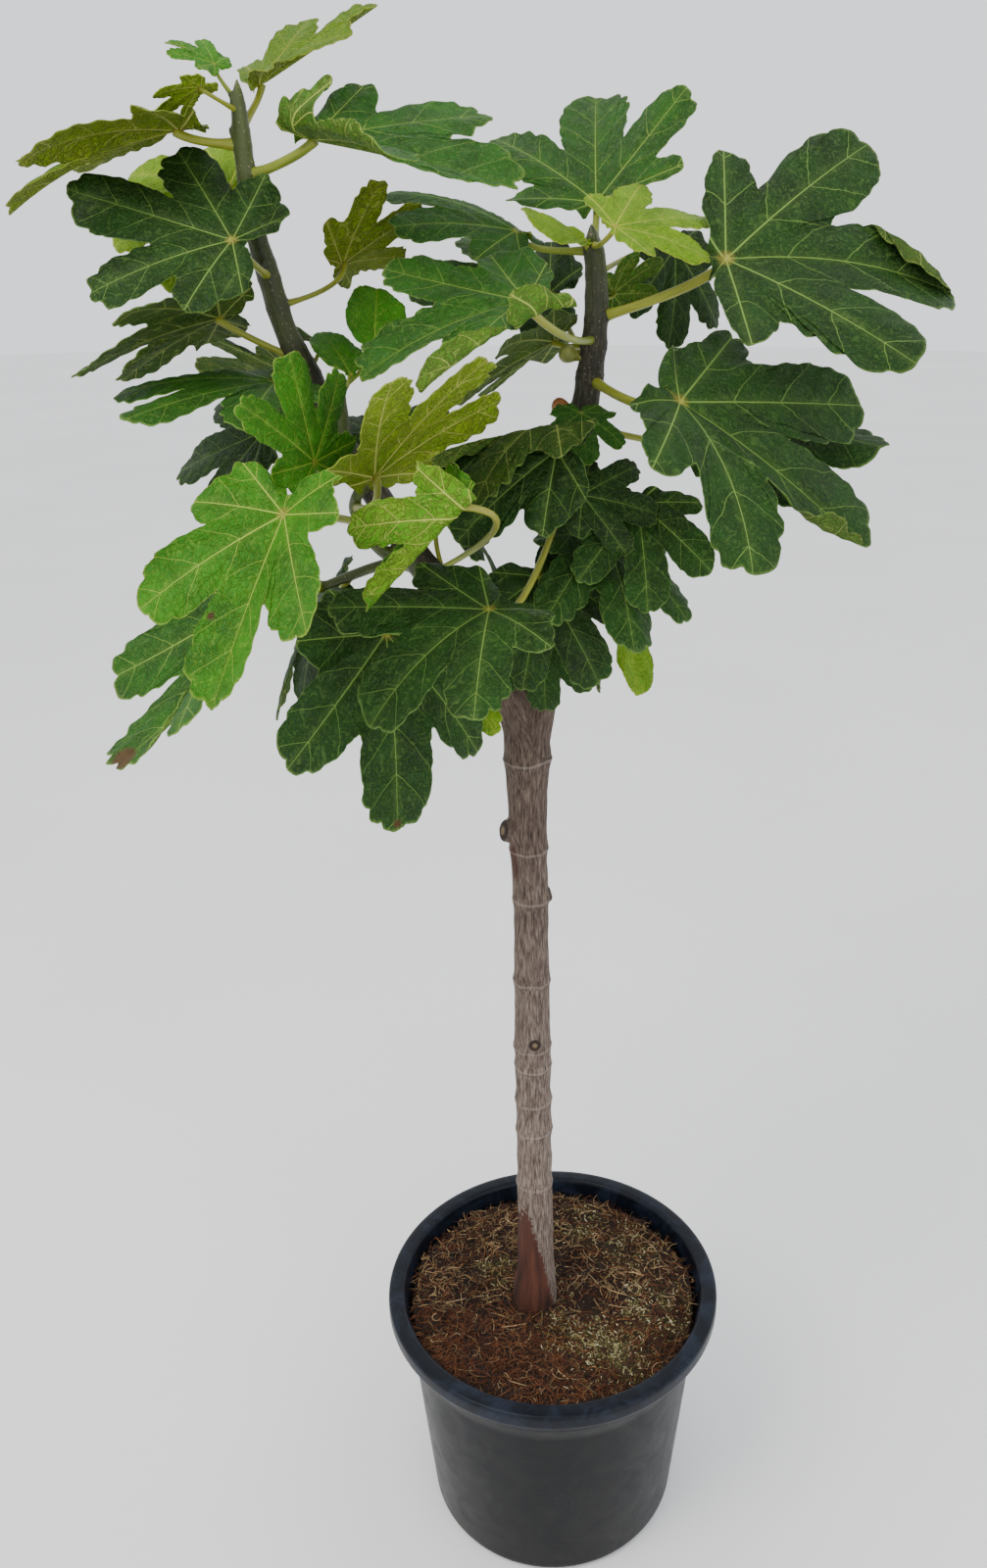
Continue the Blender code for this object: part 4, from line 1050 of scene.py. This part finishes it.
def grow_leaf(number, name, along, stalk, hang, size, bend, cut, tone):
    """One leaf as a closed mesh: upper side, under side, edge and stalk."""
    heading, rise, stalk_length = stalk
    way = direction(heading, rise)
    centre, radius, _ = on_shoot(name.split("_")[0], along)
    junction = centre + way * stalk_length
    axes = blade_axes(*hang)
    angle, edge = smooth_outline(name, cut, size, number)
    draws = np.random.default_rng(500 + number)
    columns = len(angle)
    rings = int(min(max(230 * size, 12), 26))
    share = np.linspace(0.0, 1.0, rings + 1)[1:] ** 0.92
    reach = share[:, None] * edge[None, :]
    angles = np.broadcast_to(angle, reach.shape)
    points, up = bent_points(junction, axes, size, bend, angles, reach)
    # Main veins sink in, the ground between them puffs up, and the edge waves.
    lobed = cut is not None
    veins = VEIN_ANGLES if lobed else [0]
    borders = VEIN_BORDERS if lobed else [180]
    owner = np.minimum(np.searchsorted(borders, np.abs(angle) - 1e-6), len(veins) - 1)
    vein_angle = np.array(veins)[owner] * np.sign(angle)
    off = np.radians(np.abs(angle) - np.abs(vein_angle))
    along_vein, across_vein = reach * np.cos(off), reach * np.sin(off)
    gap = np.minimum.reduce([np.abs(reach * np.sin(np.radians(np.abs(angles) - v)))
                             + (np.abs(np.abs(angles) - v) > 90) for v in veins])
    lift = -VEIN_SINK * np.exp(-((gap / VEIN_WIDTH) ** 2)) * (1 - 0.6 * share[:, None])
    lift += VEIN_PUFF * np.sin(along_vein * 51 - np.abs(across_vein) * 40) * np.minimum(gap / 0.05, 1)
    phase = draws.random(3) * 6.3
    waves = np.sin(np.radians(angle) * 5 + phase[0]) + 0.8 * np.sin(np.radians(angle) * 9 + phase[1])
    waves += 0.5 * np.sin(np.radians(angle) * 17 + phase[2])
    lift += EDGE_WAVE * waves[None, :] * share[:, None] ** 2.2
    points += up * (lift * size)[..., None]
    if name in CURLS:
        points = curled(points, axes, size, angles, reach, CURLS[name])
        round_about = np.roll(points, -1, axis=1) - np.roll(points, 1, axis=1)
        up = unit(np.cross(np.gradient(points, axis=0), round_about))
    count = rings * columns
    middle = np.array(junction)
    midrib, _, upper = (np.array(v) for v in axes)
    dipped = middle - upper * size * HUB_DIP
    everything = [(points + up * BLADE_HALF).reshape(-1, 3), (points - up * BLADE_HALF).reshape(-1, 3),
                  [dipped + upper * BLADE_HALF], [dipped - upper * BLADE_HALF]]
    # Faces lie between a point and the next one round. The vein map of both is read from
    # the first one's main vein, so that it never jumps inside a face.
    own = np.copysign(np.array(veins)[owner], angle)
    own_next = np.r_[own[:-1], -own[-1]]
    vein_map = reach * np.exp(1j * np.radians(angle - own))
    vein_next = np.roll(reach, -1, axis=1) * np.exp(1j * np.radians(np.roll(angle, -1) - own_next))
    flat_map = reach * size * np.exp(1j * np.radians(angle)) + number * LEAF_APART
    grid = np.arange(count).reshape(rings, columns)
    blocks = blade_faces(grid, np.roll(grid, -1, axis=1), 2 * count, count)
    faces = [face for block in blocks for face in block.tolist()]
    slots = [side for block, side in zip(blocks, (0, 1, 0, 1, 0)) for _ in block]
    vein_uv = corner_pairs(blade_faces(vein_map, vein_next, 0))
    flat_uv = corner_pairs(blade_faces(flat_map, np.roll(flat_map, -1, axis=1), number * LEAF_APART))
    # The stalk starts inside the bark, with a swollen foot, and runs in under the blade.
    foot = np.array(centre + way * radius * 0.4)
    thick = STALK_LEAST + STALK_SHARE * size
    arrive = unit(midrib * 0.6 + upper)
    end = middle - upper * (BLADE_HALF + size * HUB_DIP) + midrib * thick
    bend_at = middle - arrive * np.linalg.norm(middle - foot) * 0.3
    rows, sides = 14, 10
    t = np.linspace(0, 1, rows)[:, None]
    path = foot * (1 - t) ** 2 + bend_at * 2 * t * (1 - t) + end * t**2
    tangents = unit(np.gradient(path, axis=0))
    u = unit(np.cross(tangents, np.array(axes[1])))
    v = np.cross(tangents, u)
    run = np.linspace(0, 1, rows) * np.linalg.norm(middle - foot)
    flare = 1 + 0.55 * np.exp(-((run / 0.006) ** 2)) + 0.15 * np.exp(-(((run - run[-1]) / 0.006) ** 2))
    start = 2 * count + 2
    around = np.linspace(0, 2 * math.pi, sides, endpoint=False)
    rings_of_stalk = path[:, None] + thick * flare[:, None, None] * (
        np.cos(around)[None, :, None] * u[:, None] + 0.9 * np.sin(around)[None, :, None] * v[:, None])
    everything.append(rings_of_stalk.reshape(-1, 3))
    faces += [*bands(start, rows, sides), range(start, start + sides)[::-1],
              range(start + (rows - 1) * sides, start + rows * sides)]
    slots += [2] * ((rows - 1) * sides + 2)
    for a, b in zip(run, run[1:]):
        for i in range(sides):
            low, high = i / sides * STALK_GIRTH, (i + 1) / sides * STALK_GIRTH
            stalk_uv = [(a, low), (a, high), (b, high), (b, low)]
            vein_uv += stalk_uv
            flat_uv += stalk_uv
    vein_uv += [(0, 0)] * (2 * sides)
    flat_uv += [(0, 0)] * (2 * sides)
    made = mesh_object(f"{name}_grown", np.vstack(everything), faces, SKINS[tone], slots)
    for uv_name, corners in (("veins", vein_uv), ("flat", flat_uv)):
        layer = made.data.uv_layers.new(name=uv_name)
        layer.data.foreach_set("uv", np.array(corners, np.float32).ravel())
    rim = np.zeros(len(made.data.vertices))
    rim[: 2 * count] = np.tile(np.repeat(share, columns), 2)
    keep(made.data, "rim", rim)
    keep(made.data, "leaf_tint", np.full(len(rim), draws.uniform(-0.06, 0.10)))
    # The brightness factor that paints light and shade on the whole leaf.
    keep(made.data, "leaf_shade", np.full(len(rim), PAINTED_LIGHT_AND_SHADE.get(name, 1.0)))
    if name in BURNS:
        burnt_at, burnt_out, burnt_size = BURNS[name]
        burnt_at = math.radians(burnt_at)
        gap = np.hypot(reach * np.cos(np.radians(angles)) - burnt_out * math.cos(burnt_at),
                       reach * np.sin(np.radians(angles)) - burnt_out * math.sin(burnt_at))
        burn = np.exp(-((gap / burnt_size) ** 2)).ravel()
        keep(made.data, "burn", np.r_[burn, burn, np.zeros(len(rim) - 2 * count)])
    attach(made, "root")
    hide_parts(name)


for number, entry in enumerate(LEAVES):
    grow_leaf(number, *entry)

# ---------------------------------------------------------------- young figs and buds
# Small hard unripe figs sit at two leaf joints: pear-shaped, matt green with pale
# flecks; one has turned orange-brown.
FIGS = [  # name, how far along the right shoot, (heading, rise), radius, skin, flush
    ("fig_upper", 0.79, (-165, 20), 0.0062, "#5f6a2a", "#8a8a45"),
    ("fig_lower", 0.70, (-160, 10), 0.0060, "#6a4a22", "#b0673a"),
]


def fig_skin(name, ground, flush):
    """Unripe fig skin: matt and finely flecked, mottled with a flush."""
    made, add = new_material(f"{name}_unripe_skin")
    place = add("TexCoord").outputs["Object"]
    mottle = add("TexNoise", Vector=place, Scale=210.0, Detail=5.0)
    body = add("ValToRGB", mottle, stops=[(0.35, ground), (0.68, flush)])
    flecks = add("TexVoronoi", Vector=place, Scale=700.0)
    flecks = add("ValToRGB", flecks, stops=[(0.10, 0.6), (0.22, 0.0)])
    body = add("MixRGB", flecks, body, colour("#c9c48c"))
    relief = add("Bump", Height=mottle, Strength=0.4, Distance=0.0005)
    surface = add("BsdfPrincipled", Base_Color=body, Roughness=0.5, Normal=relief, IOR=1.42)
    add("OutputMaterial", surface)
    return made


def along_axis(shape, foot, way, sides):
    """Points and faces of a closed body turned about a line, from (run, radius) rows."""
    side = way.cross(Vector((0, 0, 1))).normalized()
    other = way.cross(side)
    points = []
    for run, radius in shape:
        for i in range(sides):
            a = 2 * math.pi * i / sides
            points.append(foot + way * run + (side * math.cos(a) + other * math.sin(a)) * radius)
    faces = [*bands(0, len(shape), sides, True), range(sides), range(len(points))[-sides:][::-1]]
    return points, faces


for name, along, (heading, rise), size, ground, flush in FIGS:
    way = direction(heading, rise)
    centre, radius, _ = on_shoot("right", along)
    shape = [(-0.6, 0.30), (0.1, 0.32), (0.5, 0.52), (0.9, 0.80), (1.3, 0.97), (1.7, 1.0), (2.05, 0.86),
             (2.3, 0.58), (2.42, 0.30), (2.38, 0.18), (2.34, 0.05)]
    shape = [(run * size, wide * size) for run, wide in shape]
    points, faces = along_axis(shape, centre + way * radius, way, 24)
    fruit = mesh_object(f"{name}_fruit", points, faces, [fig_skin(name, ground, flush)])
    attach(fruit, "root")
    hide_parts(name)

# ---------------------------------------------------------------- studio
# A plain pale floor under soft, even light from above and a little from the left.


def floor_paint():
    """Matt pale grey floor with a faint unevenness."""
    made, add = new_material("studio_floor_matt")
    place = add("TexCoord").outputs["Object"]
    cloud = add("TexNoise", Vector=place, Scale=1.6, Detail=4.0)
    tint = add("ValToRGB", cloud, stops=[(0.3, "#f0f0ef"), (0.7, "#f6f6f5")])
    surface = add("BsdfPrincipled", Base_Color=tint, Roughness=0.9)
    add("OutputMaterial", surface)
    return made


bpy.ops.mesh.primitive_circle_add(vertices=96, radius=14, fill_type="NGON", location=(0, 0, -0.0005))
floor = bpy.context.object
floor.name = "studio_floor"
floor.data.materials.append(floor_paint())

world = bpy.data.worlds.new("studio_air")
world.use_nodes = True
world.node_tree.nodes["Background"].inputs["Color"].default_value = colour("#f4f6fa")
world.node_tree.nodes["Background"].inputs["Strength"].default_value = 1.45
bpy.context.scene.world = world


def soft_light(name, place, aim, size, power, tint):
    """A square soft box that faces a point."""
    lamp = bpy.data.lights.new(name, "AREA")
    lamp.size = size
    lamp.energy = power
    lamp.color = colour(tint)[:3]
    made = bpy.data.objects.new(name, lamp)
    made.location = place
    made.rotation_euler = (Vector(aim) - Vector(place)).to_track_quat("-Z", "Y").to_euler()
    bpy.context.collection.objects.link(made)


soft_light("key_soft_box", (-1.3, -1.2, 2.9), (0, 0, 0.8), 1.2, 44, "#fff8ee")
soft_light("fill_soft_box", (1.4, -2.0, 0.9), (0, 0, 0.8), 1.8, 16, "#f2f6ff")

camera_lens = bpy.data.cameras.new("camera")
camera_lens.lens = 29.25
camera_lens.sensor_width = 36
camera_lens.shift_x = -0.0378
camera_lens.clip_start = 0.02
camera = bpy.data.objects.new("camera", camera_lens)
camera.location = (0, -0.896, 1.116)
camera.rotation_euler = (math.radians(90 - 23.28), 0, 0)
bpy.context.collection.objects.link(camera)
bpy.context.scene.camera = camera
